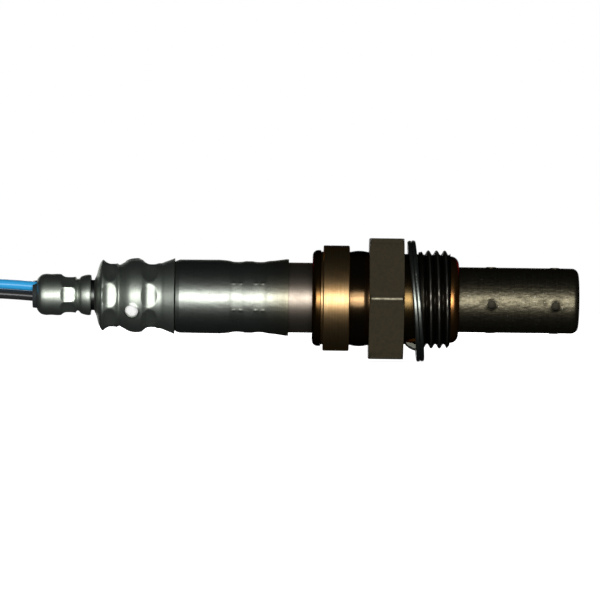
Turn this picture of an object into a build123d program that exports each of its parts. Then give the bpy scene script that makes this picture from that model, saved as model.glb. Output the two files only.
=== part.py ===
from build123d import *

import os
from math import atan2, cos, degrees, hypot, radians, sin, tan

# Screw-in exhaust oxygen sensor with its leads and plug, in millimetres.
# X is the sensor's axis and points to the nose. Z is up.
# X = 0 is the front face of the hexagon, where the gasket seats.
# The hexagon has a corner towards -Y, and a flat on top.

# Clearances
FIT_GAP = 0.05  # between pieces that sit in or on each other
SLIDE_GAP = 0.10  # where one piece slides into another at assembly
PUNCH_WALLS = 4  # depth of a punch, in walls

# Housing, outside, from the hexagon forwards
HEX_FLATS = 22.0
HEX_LENGTH = 6.32
HEX_CHAMFER = 0.35
UNDERCUT_RADIUS = 8.28
UNDERCUT_LENGTH = 2.7
THREAD_RADIUS = 9.0
THREAD_LENGTH = 5.8
THREAD_CHAMFER = 0.5
RUNOUT_LENGTH = 1.5  # the thread's first turn, which isn't cut to its full height
RUNOUT_RADIUS = 8.6
LIP_RADIUS = 7.95
LIP_LENGTH = 1.6

# Housing, outside, from the hexagon backwards
NECK_RADIUS = 8.55
NECK_BULGE = 0.21
NECK_LENGTH = 3.58
NECK_END = 0.25
COLLAR_RADIUS = 9.65
COLLAR_LENGTH = 4.8
COLLAR_CHAMFER = 0.25
GROOVE_RADIUS = 8.5
GROOVE_LENGTH = 0.4
RIM_RADIUS = 8.8
RIM_LENGTH = 1.6
RIM_ROUND = 1.05

# Housing, inside
SEAL_BORE_RADIUS = 7.4
RIM_WALL = 2.1
LEG_BORE_RADIUS = 5.2
SEAT_X = -2.6
SEAT_DEPTH = 1.7
SHELL_SEAT_X = 6.2
SHELL_SEAT_RADIUS = 7.3

# Gasket
GASKET_GAP = 0.12
GASKET_WIDTH = 1.98
GASKET_THICK = 1.45
GASKET_X = 2.3
GASKET_DROP = 0.33
GASKET_TILT = 5.0
GASKET_NOTCH = 0.42
GASKET_WEB = 0.26

# Nose shells
OUTER_SHELL_RADIUS = 5.97
OUTER_SHELL_WALL = 0.5
OUTER_SHELL_REACH = 22.0
OUTER_SHELL_ROUND = 1.2
INNER_SHELL_RADIUS = 4.6
INNER_SHELL_WALL = 0.4
SHELL_END_GAP = 1.8
NOSE_HOLE = 1.65
NOSE_HOLES = 4
NOSE_ROW_BACK = (5.9, -8.0)  # from the housing's lip, and the angle of the first hole
NOSE_ROW_FRONT = (4.5, -9.4)  # from the nose, and the angle of the first hole
RIM_RISE = 0.12
RIM_WIDTH = 0.32
INNER_HOLE = 1.5
INNER_HOLES = 6
INNER_ROW_BACK = 4.0
INNER_ROW_FRONT = 8.0

# Ceramic thimble and its heater
FLANGE_RADIUS = 7.2
FLANGE_BACK_X = -6.4
THIMBLE_BODY_RADIUS = 4.0
THIMBLE_MOUTH_RADIUS = 3.6
THIMBLE_MOUTH_LENGTH = 3.5
THIMBLE_MOUTH_X = -21.5
LEG_ROOT_RADIUS = 3.5
LEG_TIP_RADIUS = 2.75
LEG_TIP_GAP = 2.35
THIMBLE_BORE = 1.9
THIMBLE_TIP_WALL = 1.25
THIMBLE_STEP = 0.5  # length of the cone behind the mouth
FLANGE_ROUND = 0.5
MOUTH_ROUND = 0.2
PACKING_THICK = 0.5
HEATER_RADIUS = 1.5
HEATER_BACK_X = -31.0
HEATER_TIP_GAP = 0.6
HEATER_BACK_ROUND = 0.2
HEATER_TIP_ROUND = 0.6

# Seal behind the flange
TALC_LENGTH = 4.0
SEAL_RING_LENGTH = 2.8
LOCK_RING_LENGTH = 0.75
LOCK_RING_BORE = 5.0

# Tubes behind the housing
TUBE_RADIUS = 6.42
TUBE_WALL = 0.5
TUBE_FLANGE = 0.5
TUBE_NECK_X = -21.3
TUBE_NECK_TAPER = 1.3
TUBE_ROUND = 0.8
TUBE_BACK_X = -34.15
CASING_WALL = 0.45
CASING_OUTLINE = (
    (-42.2, 4.75),
    (-41.9, 6.15),
    (-41.6, 6.48),
    (-40.9, 6.71),
    (-33.6, 6.76),
    (-31.9, 6.72),
    (-24.9, 6.66),
    (-23.7, 6.72),
    (-22.6, 6.86),
    (-21.5, 7.04),
    (-21.0, 7.0),
)
CASING_FLATS = 12.86
CASING_FLATS_SPAN = (-31.6, -24.9)
CASING_CRIMPS = ((-30.35, 12.62), (-26.25, 12.7))
CASING_CRIMP_HALF = 3.8
CASING_ROLLER = 2.2
CRIMP_SIDES = 8
CRIMP_GAP = 0.06  # between the casing's crimped bore and the tube's neck
UPPER_RADIUS = 4.6
UPPER_BACK_X = -53.8
UPPER_BEVEL = 0.65
UPPER_FRONT_GAP = 0.3  # from the narrow part to the casing's shoulder
TAIL_RADIUS = 2.78
TAIL_X = -55.3
TAIL_WALL = 0.32
TAIL_NECK_RADIUS = 2.48
TAIL_NECK_X = -57.6
TAIL_STEP = 0.6
TAIL_BORE_STEP = 0.2
TAIL_BACK_X = -60.5
INNER_VENT = 1.5

# Filter cover and filter
COVER_WALL = 0.4
COVER_OUTLINE = (
    (-56.5, 2.98),
    (-56.25, 3.9),
    (-56.05, 5.0),
    (-55.7, 5.95),
    (-55.0, 6.53),
    (-54.3, 6.15),
    (-53.2, 5.88),
    (-52.0, 5.78),
    (-50.9, 6.22),
    (-49.3, 6.68),
    (-47.6, 6.32),
    (-46.3, 5.98),
    (-44.9, 5.92),
    (-43.6, 6.33),
    (-42.7, 6.6),
    (-41.9, 6.9),
)
COVER_CRIMPS = ((-52.0, 11.1), (-44.9, 11.42))
COVER_CRIMP_HALF = 0.9
COVER_ROLLER = 1.3
VENT_X = -49.55
VENT_HOLE = 2.5
VENT_ANGLES = (205.6, 325.6, 85.6)
FILTER_SPAN = (-54.0, -43.4)
FILTER_GAP = 0.15

# Sleeve and bung at the wire end
CAP_WALL = 0.33
CAP_OUTLINE = (
    (-67.0, 2.8),
    (-66.5, 3.45),
    (-65.4, 3.78),
    (-64.3, 3.73),
    (-63.2, 3.79),
    (-62.2, 3.66),
    (-61.3, 3.48),
    (-60.3, 3.42),
    (-59.6, 2.9),
    (-58.9, 3.42),
    (-57.9, 3.67),
    (-57.15, 3.69),
)
CAP_CRIMP = (-60.75, 6.5)
CAP_CRIMP_HALF = 0.8
CAP_ROLLER = 1.2
BUNG_FRONT_X = -60.7
BUNG_DOME = 0.8
BUNG_TIP_RADIUS = 2.45

# Terminal block, its spring and the contacts
BLOCK_FLANGE_RADIUS = 6.15
BLOCK_FLANGE_LENGTH = 2.3
BLOCK_FRONT_X = -31.6
BLOCK_BACK_X = -40.5
BLOCK_CHAMFER = 0.4
TERMINAL_OFFSET = 2.05
TERMINAL_HOLE_RADIUS = 0.95
SPRING_THICK = 0.3
SPRING_BORE = 4.4
SPRING_RADIUS = 5.9
SPRING_DISH = 0.4
STRIP_WIDTH = 1.4
STRIP_THICK = 0.3
BARREL_WALL = 0.25
BARREL_LENGTH = 2.6
BARREL_FRONT_X = -42.4
OUTER_CONTACT_SPAN = (-25.0, -18.5)
INNER_CONTACT_SPAN = (-24.0, -16.0)
CONTACT_WALL = 0.3
HEATER_PAD_SPAN = (-29.0, -25.6)
HEATER_TAB_X = -27.3

# Leads
LEAD_RADIUS = 0.85
LEAD_PITCH = 1.8
LEAD_HOLE_GAP = 0.02
LEAD_START_X = -42.9
LEAD_MEET_X = (-47.5, -54.3)  # where the leads start and end coming together
LEAD_BUNG_X = -61.6
LEAD_BENDS = ((-69.0, 0.7), (-77.0, 1.05), (-85.5, -0.6), (-93.0, -5.1))
LEAD_LEVEL_X = -100.0
LOOM_START_X = -106.5
LOOM_RADIUS = 3.0
BEND_SHARE = 0.45  # share of the shorter run that a bend may take

# Plug
PLUG_FRONT_X = -88.0
PLUG_Y = -12.5
PLUG_LENGTH = 25.0
PLUG_WIDTH = 17.0
PLUG_HEIGHT = 12.6
PLUG_WALL = 1.3
PLUG_ROUND = 1.6
COVER_INNER_ROUND = 0.8
PLUG_HOOD = 8.0
PLUG_SEAL_DEPTH = 6.0
PLUG_CORE_GAP = 1.6
PLUG_CORE_SETBACK = 1.8
PLUG_SLOT = (2.2, 1.9)
PLUG_SLOT_PITCH = (4.6, 3.4)
LATCH_WIDTH = 5.0
LATCH_THICK = 1.2
LATCH_RISE = 1.4
LATCH_ROOT = 3.5
LATCH_LENGTH = 17.0
COVER_TAPER = 7.0
COVER_NOZZLE = 6.0
TAIL_SOCKET = 1.0  # from the nozzle's front to the end of the loom in it
PLUG_COVER_WALL = 1.2
LOCK_THICK = 1.1
LOCK_CLIP = (4.2, 0.9)
PLUG_TERMINAL = (1.8, 1.5)
PLUG_TERMINAL_LENGTH = 9.0
PLUG_TERMINAL_WALL = 0.3
PLUG_TERMINAL_DEPTH = 4.5
PLUG_BARREL_LENGTH = 4.5
PLUG_BARREL_DEPTH = 3.0
LOCK_HOLE = (1.1, 0.95)
LOCK_CLIP_WIDTH = 3.3

# Hank and tie
HANK_START_X = -163.0
HANK_NECK = 12.0
HANK_LOOP_X = -211.0
HANK_FOLD_RADIUS = 18.0
HANK_ROUND = 2.4
HANK_SLIT_ROUND = 0.75  # where the two runs part
RUN_GAP = 0.2
TAIL_BENDS_X = (-150.5, -134.5)
TIE_X = -168.5
TIE_WIDTH = 3.0
TIE_THICK = 0.6
TIE_HEAD_WIDTH = 3.9
TIE_HEAD_HEIGHT = 1.8

# Values that follow from the ones above
GASKET_BORE = THREAD_RADIUS + GASKET_GAP
GASKET_RADIUS = GASKET_BORE + GASKET_WIDTH
GASKET_FOLD = GASKET_WIDTH - GASKET_NOTCH - GASKET_WEB
FLOOR_Z = -(
    GASKET_DROP
    + GASKET_RADIUS * cos(radians(GASKET_TILT))
    + GASKET_THICK / 2 * sin(radians(GASKET_TILT))
)
THREAD_END_X = UNDERCUT_LENGTH + THREAD_LENGTH
HOUSING_NOSE_X = THREAD_END_X + LIP_LENGTH
NOSE_X = HOUSING_NOSE_X + OUTER_SHELL_REACH
INNER_END_X = NOSE_X - OUTER_SHELL_WALL - SHELL_END_GAP
LEG_TIP_X = INNER_END_X - INNER_SHELL_WALL - LEG_TIP_GAP
COLLAR_FRONT_X = -HEX_LENGTH - NECK_LENGTH
COLLAR_BACK_X = COLLAR_FRONT_X - COLLAR_LENGTH
RIM_FRONT_X = COLLAR_BACK_X - GROOVE_LENGTH
RIM_BACK_X = RIM_FRONT_X - RIM_LENGTH
SEAL_BORE_X = RIM_BACK_X + RIM_WALL
INNER_FLANGE_X = SHELL_SEAT_X + INNER_SHELL_WALL
OUTER_FLANGE_X = INNER_FLANGE_X + OUTER_SHELL_WALL
RIM_BORE_RADIUS = TUBE_RADIUS + SLIDE_GAP
TALC_BACK_X = FLANGE_BACK_X - FIT_GAP - TALC_LENGTH
SEAL_RING_BACK_X = TALC_BACK_X - SEAL_RING_LENGTH
LOCK_RING_BACK_X = SEAL_RING_BACK_X - LOCK_RING_LENGTH
SEAL_OUTER_RADIUS = SEAL_BORE_RADIUS - FIT_GAP
SEAL_INNER_RADIUS = THIMBLE_BODY_RADIUS + FIT_GAP
CRIMP_BORE = min(CASING_FLATS, *(flats for _, flats in CASING_CRIMPS)) / 2 - CASING_WALL
TUBE_NECK_RADIUS = CRIMP_BORE - CRIMP_GAP
BLOCK_RADIUS = TUBE_NECK_RADIUS - TUBE_WALL - SLIDE_GAP
TAIL_BORE = TAIL_NECK_RADIUS - TAIL_WALL
BARREL_BORE = LEAD_RADIUS + FIT_GAP
LOOM_Z = FLOOR_Z + LOOM_RADIUS
RUN_PITCH = 2 * LOOM_RADIUS + RUN_GAP
PLUG_Z = FLOOR_Z + PLUG_HEIGHT / 2
PLUG_BACK_X = PLUG_FRONT_X - PLUG_LENGTH
NOZZLE_RADIUS = LOOM_RADIUS + FIT_GAP + PLUG_COVER_WALL
NOZZLE_Z = FLOOR_Z + NOZZLE_RADIUS
NOZZLE_FRONT_X = PLUG_BACK_X - COVER_TAPER
NOZZLE_BACK_X = NOZZLE_FRONT_X - COVER_NOZZLE
PLUG_CORE_SIZE = (
    PLUG_WIDTH - 2 * PLUG_WALL - 2 * PLUG_CORE_GAP,
    PLUG_HEIGHT - 2 * PLUG_WALL - 2 * PLUG_CORE_GAP,
)
CORE_FRONT_X = PLUG_FRONT_X - PLUG_CORE_SETBACK
PLUG_HOOD_SIZE = (PLUG_WIDTH - 2 * PLUG_WALL, PLUG_HEIGHT - 2 * PLUG_WALL)

# The middle of the four leads: x, height, and how far each lead lies to the side and up
CLOSE = LEAD_PITCH / 2
LEAD_STATIONS = (
    (LEAD_START_X, 0.0, TERMINAL_OFFSET),
    (LEAD_MEET_X[0], 0.0, TERMINAL_OFFSET),
    (LEAD_MEET_X[1], 0.0, CLOSE),
    (LEAD_BUNG_X, 0.0, CLOSE),
    *((x, z, CLOSE) for x, z in LEAD_BENDS),
    (LEAD_LEVEL_X, LOOM_Z, CLOSE),
    (LOOM_START_X, LOOM_Z, CLOSE),
)
# Side (+Y or -Y) and level (up or down) of each lead
LEADS = {
    "lead_blue": (-1, 1),
    "lead_black_1": (-1, -1),
    "lead_white": (1, 1),
    "lead_black_2": (1, -1),
}
# The loom's free end, from the hank to the plug
TAIL_ROUTE = (
    (HANK_START_X, -RUN_PITCH, LOOM_Z),
    (TAIL_BENDS_X[0], -RUN_PITCH, LOOM_Z),
    (TAIL_BENDS_X[1], PLUG_Y, NOZZLE_Z),
    (NOZZLE_FRONT_X - TAIL_SOCKET, PLUG_Y, NOZZLE_Z),
)


def seat_x(radius):
    """Where the cone of the housing's seat lies at this radius."""
    share = (SEAL_BORE_RADIUS - radius) / (SEAL_BORE_RADIUS - LEG_BORE_RADIUS)
    return SEAT_X + share * SEAT_DEPTH


def shifted(outline, distance):
    """The outline (x, radius) moved square to itself, towards the axis."""
    moved = []
    for place, (x, radius) in enumerate(outline):
        x_before, r_before = outline[max(place - 1, 0)]
        x_after, r_after = outline[min(place + 1, len(outline) - 1)]
        run = hypot(x_after - x_before, r_after - r_before)
        step_x = distance * (r_after - r_before) / run
        step_r = distance * (x_after - x_before) / run
        moved.append((x + step_x, radius - step_r))
    return moved


def kept_under(outline, span, limit):
    """The outline with no point above a radius limit inside a stretch of x."""
    low, high = span
    return [(x, min(r, limit) if low <= x <= high else r) for x, r in outline]


def band(centre, half):
    """The stretch of x on both sides of a centre."""
    return centre - half, centre + half


def turned(*corners):
    """Fills a closed profile of (x, radius, rounding) corners in the open sketch."""
    points = [(x, radius) for x, radius, _ in corners]
    roundings = [rounding for _, _, rounding in corners]
    with BuildLine() as profile:
        FilletPolyline(*points, radius=roundings, close=True)
    make_face(profile.line)


def sheet_section(outer, inner, curve):
    """Fills the section between two outlines, both drawn by the same kind of curve."""
    with BuildLine() as section:
        curve(*outer)
        Line(outer[-1], inner[-1])
        curve(*inner)
        Line(inner[0], outer[0])
    make_face(section.line)


def radial_plane(angle):
    """A sketch plane along the axis: its x is X, and its y points outwards at this angle."""
    turn = radians(angle)
    return Plane(origin=(0, 0, 0), x_dir=(1, 0, 0), z_dir=(0, -sin(turn), cos(turn)))


def outward_plane(x, angle, radius):
    """A plane on a tube's surface that faces outwards."""
    turn = radians(angle)
    origin = (x, radius * cos(turn), radius * sin(turn))
    return Plane(origin=origin, x_dir=(1, 0, 0), z_dir=(0, cos(turn), sin(turn)))


def even_angles(count, first=0.0):
    """Angles spaced evenly round the axis."""
    return [first + 360 * step / count for step in range(count)]


def press_crimps(x, flats, roller):
    """Rolls a ring of dents into the open part, down to a width across flats."""
    for angle in even_angles(CRIMP_SIDES):
        turn = radians(angle)
        reach = flats / 2 + roller
        centre = (x, reach * cos(turn), reach * sin(turn))
        across = Plane(origin=centre, x_dir=(1, 0, 0), z_dir=(0, -sin(turn), cos(turn)))
        with Locations(across):
            Cylinder(roller, flats, mode=Mode.SUBTRACT)


def raised_hole(x, angle, wall_radius, wall, hole):
    """Punches a round hole with a low raised rim through a tube's wall."""
    with Locations(outward_plane(x, angle, wall_radius - wall / 2)):
        bottom = (Align.CENTER, Align.CENTER, Align.MIN)
        Cylinder(hole / 2 + RIM_WIDTH, wall / 2 + RIM_RISE, align=bottom)
    with Locations(outward_plane(x, angle, wall_radius)):
        Cylinder(hole / 2, PUNCH_WALLS * wall, mode=Mode.SUBTRACT)


# Housing: hexagon first, so that only its corners are chamfered
with BuildPart() as housing:
    with BuildSketch(Plane.YZ.offset(-HEX_LENGTH)):
        RegularPolygon(HEX_FLATS / 2, 6, major_radius=False)
    extrude(amount=HEX_LENGTH)
    corner_radius = HEX_FLATS / 2 / cos(radians(30))
    with BuildSketch(Plane.XZ):
        turned(
            (0, 0, 0),
            (0, corner_radius - 2 * HEX_CHAMFER, 0),
            (-HEX_CHAMFER, corner_radius, 0),
            (-HEX_LENGTH + HEX_CHAMFER, corner_radius, 0),
            (-HEX_LENGTH, corner_radius - 2 * HEX_CHAMFER, 0),
            (-HEX_LENGTH, 0, 0),
        )
    revolve(axis=Axis.X, mode=Mode.INTERSECT)
    with BuildSketch(Plane.XZ):
        turned(
            (HOUSING_NOSE_X, 0, 0),
            (HOUSING_NOSE_X, LIP_RADIUS, LIP_LENGTH - FIT_GAP),
            (THREAD_END_X, LIP_RADIUS, 0),
            (THREAD_END_X, THREAD_RADIUS - THREAD_CHAMFER, 0),
            (THREAD_END_X - THREAD_CHAMFER, THREAD_RADIUS, 0),
            (UNDERCUT_LENGTH + RUNOUT_LENGTH, THREAD_RADIUS, 0),
            (UNDERCUT_LENGTH, RUNOUT_RADIUS, 0),
            (UNDERCUT_LENGTH, UNDERCUT_RADIUS, 0),
            (-HEX_LENGTH / 2, UNDERCUT_RADIUS, 0),
            (-HEX_LENGTH / 2, 0, 0),
        )
    revolve(axis=Axis.X)
    with BuildSketch(Plane.XZ):
        with BuildLine():
            neck_front = (-HEX_LENGTH - NECK_END, NECK_RADIUS)
            neck_middle = (-HEX_LENGTH - NECK_LENGTH / 2, NECK_RADIUS + NECK_BULGE)
            neck_back = (COLLAR_FRONT_X + NECK_END, NECK_RADIUS)
            Polyline((-HEX_LENGTH / 2, 0), (-HEX_LENGTH / 2, NECK_RADIUS), neck_front)
            ThreePointArc(neck_front, neck_middle, neck_back)
            Polyline(neck_back, (COLLAR_FRONT_X, NECK_RADIUS), (COLLAR_FRONT_X, 0))
            Line((COLLAR_FRONT_X, 0), (-HEX_LENGTH / 2, 0))
        make_face()
        turned(
            (COLLAR_FRONT_X, 0, 0),
            (COLLAR_FRONT_X, COLLAR_RADIUS - COLLAR_CHAMFER, 0),
            (COLLAR_FRONT_X - COLLAR_CHAMFER, COLLAR_RADIUS, 0),
            (COLLAR_BACK_X + COLLAR_CHAMFER, COLLAR_RADIUS, 0),
            (COLLAR_BACK_X, COLLAR_RADIUS - COLLAR_CHAMFER, 0),
            (COLLAR_BACK_X, GROOVE_RADIUS, 0),
            (RIM_FRONT_X, GROOVE_RADIUS, 0),
            (RIM_FRONT_X, RIM_RADIUS, RIM_RADIUS - GROOVE_RADIUS - FIT_GAP),
            (RIM_BACK_X, RIM_RADIUS, RIM_ROUND),
            (RIM_BACK_X, 0, 0),
        )
    revolve(axis=Axis.X)
    with BuildSketch(Plane.XZ):
        turned(
            (RIM_BACK_X, 0, 0),
            (RIM_BACK_X, RIM_BORE_RADIUS, 0),
            (SEAL_BORE_X, RIM_BORE_RADIUS, 0),
            (SEAL_BORE_X, SEAL_BORE_RADIUS, 0),
            (SEAT_X, SEAL_BORE_RADIUS, 0),
            (seat_x(LEG_BORE_RADIUS), LEG_BORE_RADIUS, 0),
            (SHELL_SEAT_X, LEG_BORE_RADIUS, 0),
            (SHELL_SEAT_X, SHELL_SEAT_RADIUS, 0),
            (OUTER_FLANGE_X, SHELL_SEAT_RADIUS, 0),
            (OUTER_FLANGE_X, OUTER_SHELL_RADIUS + FIT_GAP, 0),
            (HOUSING_NOSE_X, OUTER_SHELL_RADIUS + FIT_GAP, 0),
            (HOUSING_NOSE_X, 0, 0),
        )
    revolve(axis=Axis.X, mode=Mode.SUBTRACT)

# Gasket: a folded ring with a seam round its edge, tilted on the undercut
gasket_turn = radians(GASKET_TILT)
gasket_plane = Plane(
    origin=(GASKET_X, 0, -GASKET_DROP),
    x_dir=(cos(gasket_turn), 0, sin(gasket_turn)),
    z_dir=(0, -1, 0),
)
with BuildPart() as gasket:
    half = GASKET_THICK / 2
    lobe = half / 2
    slit = FIT_GAP
    with BuildSketch(gasket_plane):
        turned(
            (-half, GASKET_BORE, lobe / 2),
            (-half, GASKET_RADIUS, lobe - FIT_GAP),
            (-slit, GASKET_RADIUS, lobe / 2),
            (0, GASKET_RADIUS - GASKET_NOTCH, 0),
            (slit, GASKET_RADIUS, lobe / 2),
            (half, GASKET_RADIUS, lobe - FIT_GAP),
            (half, GASKET_BORE, lobe / 2),
            (slit, GASKET_BORE, 0),
            (slit, GASKET_BORE + GASKET_FOLD, 0),
            (-slit, GASKET_BORE + GASKET_FOLD, 0),
            (-slit, GASKET_BORE, 0),
        )
    revolve(axis=Axis(gasket_plane.origin, gasket_plane.x_dir))

# Outer nose shell: flanged cup with two rows of rimmed holes
with BuildPart() as outer_protector:
    bore = OUTER_SHELL_RADIUS - OUTER_SHELL_WALL
    with BuildSketch(Plane.XZ):
        turned(
            (INNER_FLANGE_X, bore, 0),
            (INNER_FLANGE_X, SHELL_SEAT_RADIUS - FIT_GAP, 0),
            (OUTER_FLANGE_X, SHELL_SEAT_RADIUS - FIT_GAP, 0),
            (OUTER_FLANGE_X, OUTER_SHELL_RADIUS, 0),
            (NOSE_X, OUTER_SHELL_RADIUS, OUTER_SHELL_ROUND),
            (NOSE_X, 0, 0),
            (NOSE_X - OUTER_SHELL_WALL, 0, 0),
            (NOSE_X - OUTER_SHELL_WALL, bore, OUTER_SHELL_ROUND - OUTER_SHELL_WALL),
        )
    revolve(axis=Axis.X)
    back_row = (HOUSING_NOSE_X + NOSE_ROW_BACK[0], NOSE_ROW_BACK[1])
    front_row = (NOSE_X - NOSE_ROW_FRONT[0], NOSE_ROW_FRONT[1])
    for row_x, first_angle in (back_row, front_row):
        for angle in even_angles(NOSE_HOLES, 180 - first_angle):
            raised_hole(row_x, angle, OUTER_SHELL_RADIUS, OUTER_SHELL_WALL, NOSE_HOLE)

# Inner nose shell: a second cup round the ceramic tip
with BuildPart() as inner_protector:
    bore = INNER_SHELL_RADIUS - INNER_SHELL_WALL
    with BuildSketch(Plane.XZ):
        turned(
            (SHELL_SEAT_X, bore, 0),
            (SHELL_SEAT_X, SHELL_SEAT_RADIUS - FIT_GAP, 0),
            (INNER_FLANGE_X, SHELL_SEAT_RADIUS - FIT_GAP, 0),
            (INNER_FLANGE_X, INNER_SHELL_RADIUS, 0),
            (INNER_END_X, INNER_SHELL_RADIUS, 2 * INNER_SHELL_WALL),
            (INNER_END_X, INNER_HOLE / 2, 0),
            (INNER_END_X - INNER_SHELL_WALL, INNER_HOLE / 2, 0),
            (INNER_END_X - INNER_SHELL_WALL, bore, INNER_SHELL_WALL),
        )
    revolve(axis=Axis.X)
    for row_x in (HOUSING_NOSE_X + INNER_ROW_BACK, INNER_END_X - INNER_ROW_FRONT):
        for angle in even_angles(INNER_HOLES):
            with Locations(outward_plane(row_x, angle, INNER_SHELL_RADIUS)):
                Cylinder(INNER_HOLE / 2, PUNCH_WALLS * INNER_SHELL_WALL, mode=Mode.SUBTRACT)

# Ceramic thimble: flange on the seat, leg into the nose, open mouth behind
with BuildPart() as zirconia_element:
    mouth_end_x = THIMBLE_MOUTH_X + THIMBLE_MOUTH_LENGTH
    bore_end_x = LEG_TIP_X - THIMBLE_TIP_WALL
    leg_bore_x = seat_x(LEG_BORE_RADIUS)
    packed_radius = LEG_BORE_RADIUS - SLIDE_GAP
    with BuildSketch(Plane.XZ):
        turned(
            (THIMBLE_MOUTH_X, 0, 0),
            (THIMBLE_MOUTH_X, THIMBLE_MOUTH_RADIUS, MOUTH_ROUND),
            (mouth_end_x, THIMBLE_MOUTH_RADIUS, 0),
            (mouth_end_x + THIMBLE_STEP, THIMBLE_BODY_RADIUS, 0),
            (FLANGE_BACK_X, THIMBLE_BODY_RADIUS, 0),
            (FLANGE_BACK_X, FLANGE_RADIUS, FLANGE_ROUND),
            (seat_x(FLANGE_RADIUS) - PACKING_THICK - FIT_GAP, FLANGE_RADIUS, 0),
            (seat_x(packed_radius) - PACKING_THICK - FIT_GAP, packed_radius, 0),
            (leg_bore_x, LEG_ROOT_RADIUS, 0),
            (LEG_TIP_X, LEG_TIP_RADIUS, LEG_TIP_RADIUS - FIT_GAP),
            (LEG_TIP_X, 0, 0),
        )
    revolve(axis=Axis.X)
    with BuildSketch(Plane.XZ):
        turned(
            (THIMBLE_MOUTH_X, 0, 0),
            (THIMBLE_MOUTH_X, THIMBLE_BORE, 0),
            (bore_end_x, THIMBLE_BORE, THIMBLE_BORE - FIT_GAP),
            (bore_end_x, 0, 0),
        )
    revolve(axis=Axis.X, mode=Mode.SUBTRACT)

with BuildPart() as heater_rod:
    heater_tip_x = bore_end_x - HEATER_TIP_GAP
    with BuildSketch(Plane.XZ):
        turned(
            (HEATER_BACK_X, 0, 0),
            (HEATER_BACK_X, HEATER_RADIUS, HEATER_BACK_ROUND),
            (heater_tip_x, HEATER_RADIUS, HEATER_TIP_ROUND),
            (heater_tip_x, 0, 0),
        )
    revolve(axis=Axis.X)

# Thin cone between the flange and the seat
with BuildPart() as seat_packing:
    wide = SEAL_BORE_RADIUS - SLIDE_GAP
    narrow = LEG_BORE_RADIUS
    with BuildSketch(Plane.XZ):
        turned(
            (seat_x(wide) - PACKING_THICK, wide, 0),
            (seat_x(wide), wide, 0),
            (seat_x(narrow), narrow, 0),
            (seat_x(narrow) - PACKING_THICK, narrow, 0),
        )
    revolve(axis=Axis.X)


def seal_ring(back_x, front_x, bore_radius):
    """Fills the section of a plain ring that lies in the housing's bore."""
    turned(
        (back_x, bore_radius, 0),
        (back_x, SEAL_OUTER_RADIUS, 0),
        (front_x, SEAL_OUTER_RADIUS, 0),
        (front_x, bore_radius, 0),
    )


with BuildPart() as talc_seal:
    with BuildSketch(Plane.XZ):
        seal_ring(TALC_BACK_X, FLANGE_BACK_X - FIT_GAP, SEAL_INNER_RADIUS)
    revolve(axis=Axis.X)

with BuildPart() as insulator_ring:
    with BuildSketch(Plane.XZ):
        seal_ring(SEAL_RING_BACK_X, TALC_BACK_X, SEAL_INNER_RADIUS)
    revolve(axis=Axis.X)

with BuildPart() as lock_ring:
    with BuildSketch(Plane.XZ):
        seal_ring(LOCK_RING_BACK_X, SEAL_RING_BACK_X, LOCK_RING_BORE)
    revolve(axis=Axis.X)

# Lower tube: flange under the housing's rim, and a neck that the casing is crimped on
with BuildPart() as lower_tube:
    neck_end_x = TUBE_NECK_X - TUBE_NECK_TAPER
    tube_front_x = LOCK_RING_BACK_X
    tube_bore = TUBE_RADIUS - TUBE_WALL
    neck_bore = TUBE_NECK_RADIUS - TUBE_WALL
    with BuildSketch(Plane.XZ):
        turned(
            (tube_front_x, tube_bore, 0),
            (tube_front_x, SEAL_OUTER_RADIUS, 0),
            (tube_front_x - TUBE_FLANGE, SEAL_OUTER_RADIUS, 0),
            (tube_front_x - TUBE_FLANGE, TUBE_RADIUS, 0),
            (TUBE_NECK_X, TUBE_RADIUS, TUBE_ROUND),
            (neck_end_x, TUBE_NECK_RADIUS, TUBE_ROUND),
            (TUBE_BACK_X, TUBE_NECK_RADIUS, 0),
            (TUBE_BACK_X, neck_bore, 0),
            (neck_end_x, neck_bore, TUBE_ROUND),
            (TUBE_NECK_X, tube_bore, TUBE_ROUND),
        )
    revolve(axis=Axis.X)

# Main casing: tail tube, narrow upper part under the filter, shoulder, wide part, bell
upper_front_x = CASING_OUTLINE[0][0]
tail_outer = [
    (TAIL_BACK_X, TAIL_NECK_RADIUS),
    (TAIL_NECK_X - TAIL_STEP, TAIL_NECK_RADIUS),
    (TAIL_NECK_X, TAIL_RADIUS),
    (TAIL_X, TAIL_RADIUS),
]
casing_outer = [
    *tail_outer,
    (UPPER_BACK_X - UPPER_BEVEL, UPPER_RADIUS - UPPER_BEVEL),
    (UPPER_BACK_X, UPPER_RADIUS),
    (upper_front_x - UPPER_FRONT_GAP, UPPER_RADIUS),
    *CASING_OUTLINE,
]
casing_inner = [
    (TAIL_BACK_X, TAIL_BORE),
    (TAIL_NECK_X - TAIL_STEP, TAIL_BORE),
    (TAIL_NECK_X + TAIL_BORE_STEP, TAIL_RADIUS - TAIL_WALL),
    (TAIL_X + CASING_WALL, TAIL_RADIUS - TAIL_WALL),
    *shifted(casing_outer, CASING_WALL)[len(tail_outer):],
]
flats_length = CASING_FLATS_SPAN[1] - CASING_FLATS_SPAN[0]
flats_middle = sum(CASING_FLATS_SPAN) / 2
casing_inner = kept_under(casing_inner, band(flats_middle, CASING_CRIMP_HALF), CRIMP_BORE)
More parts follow.
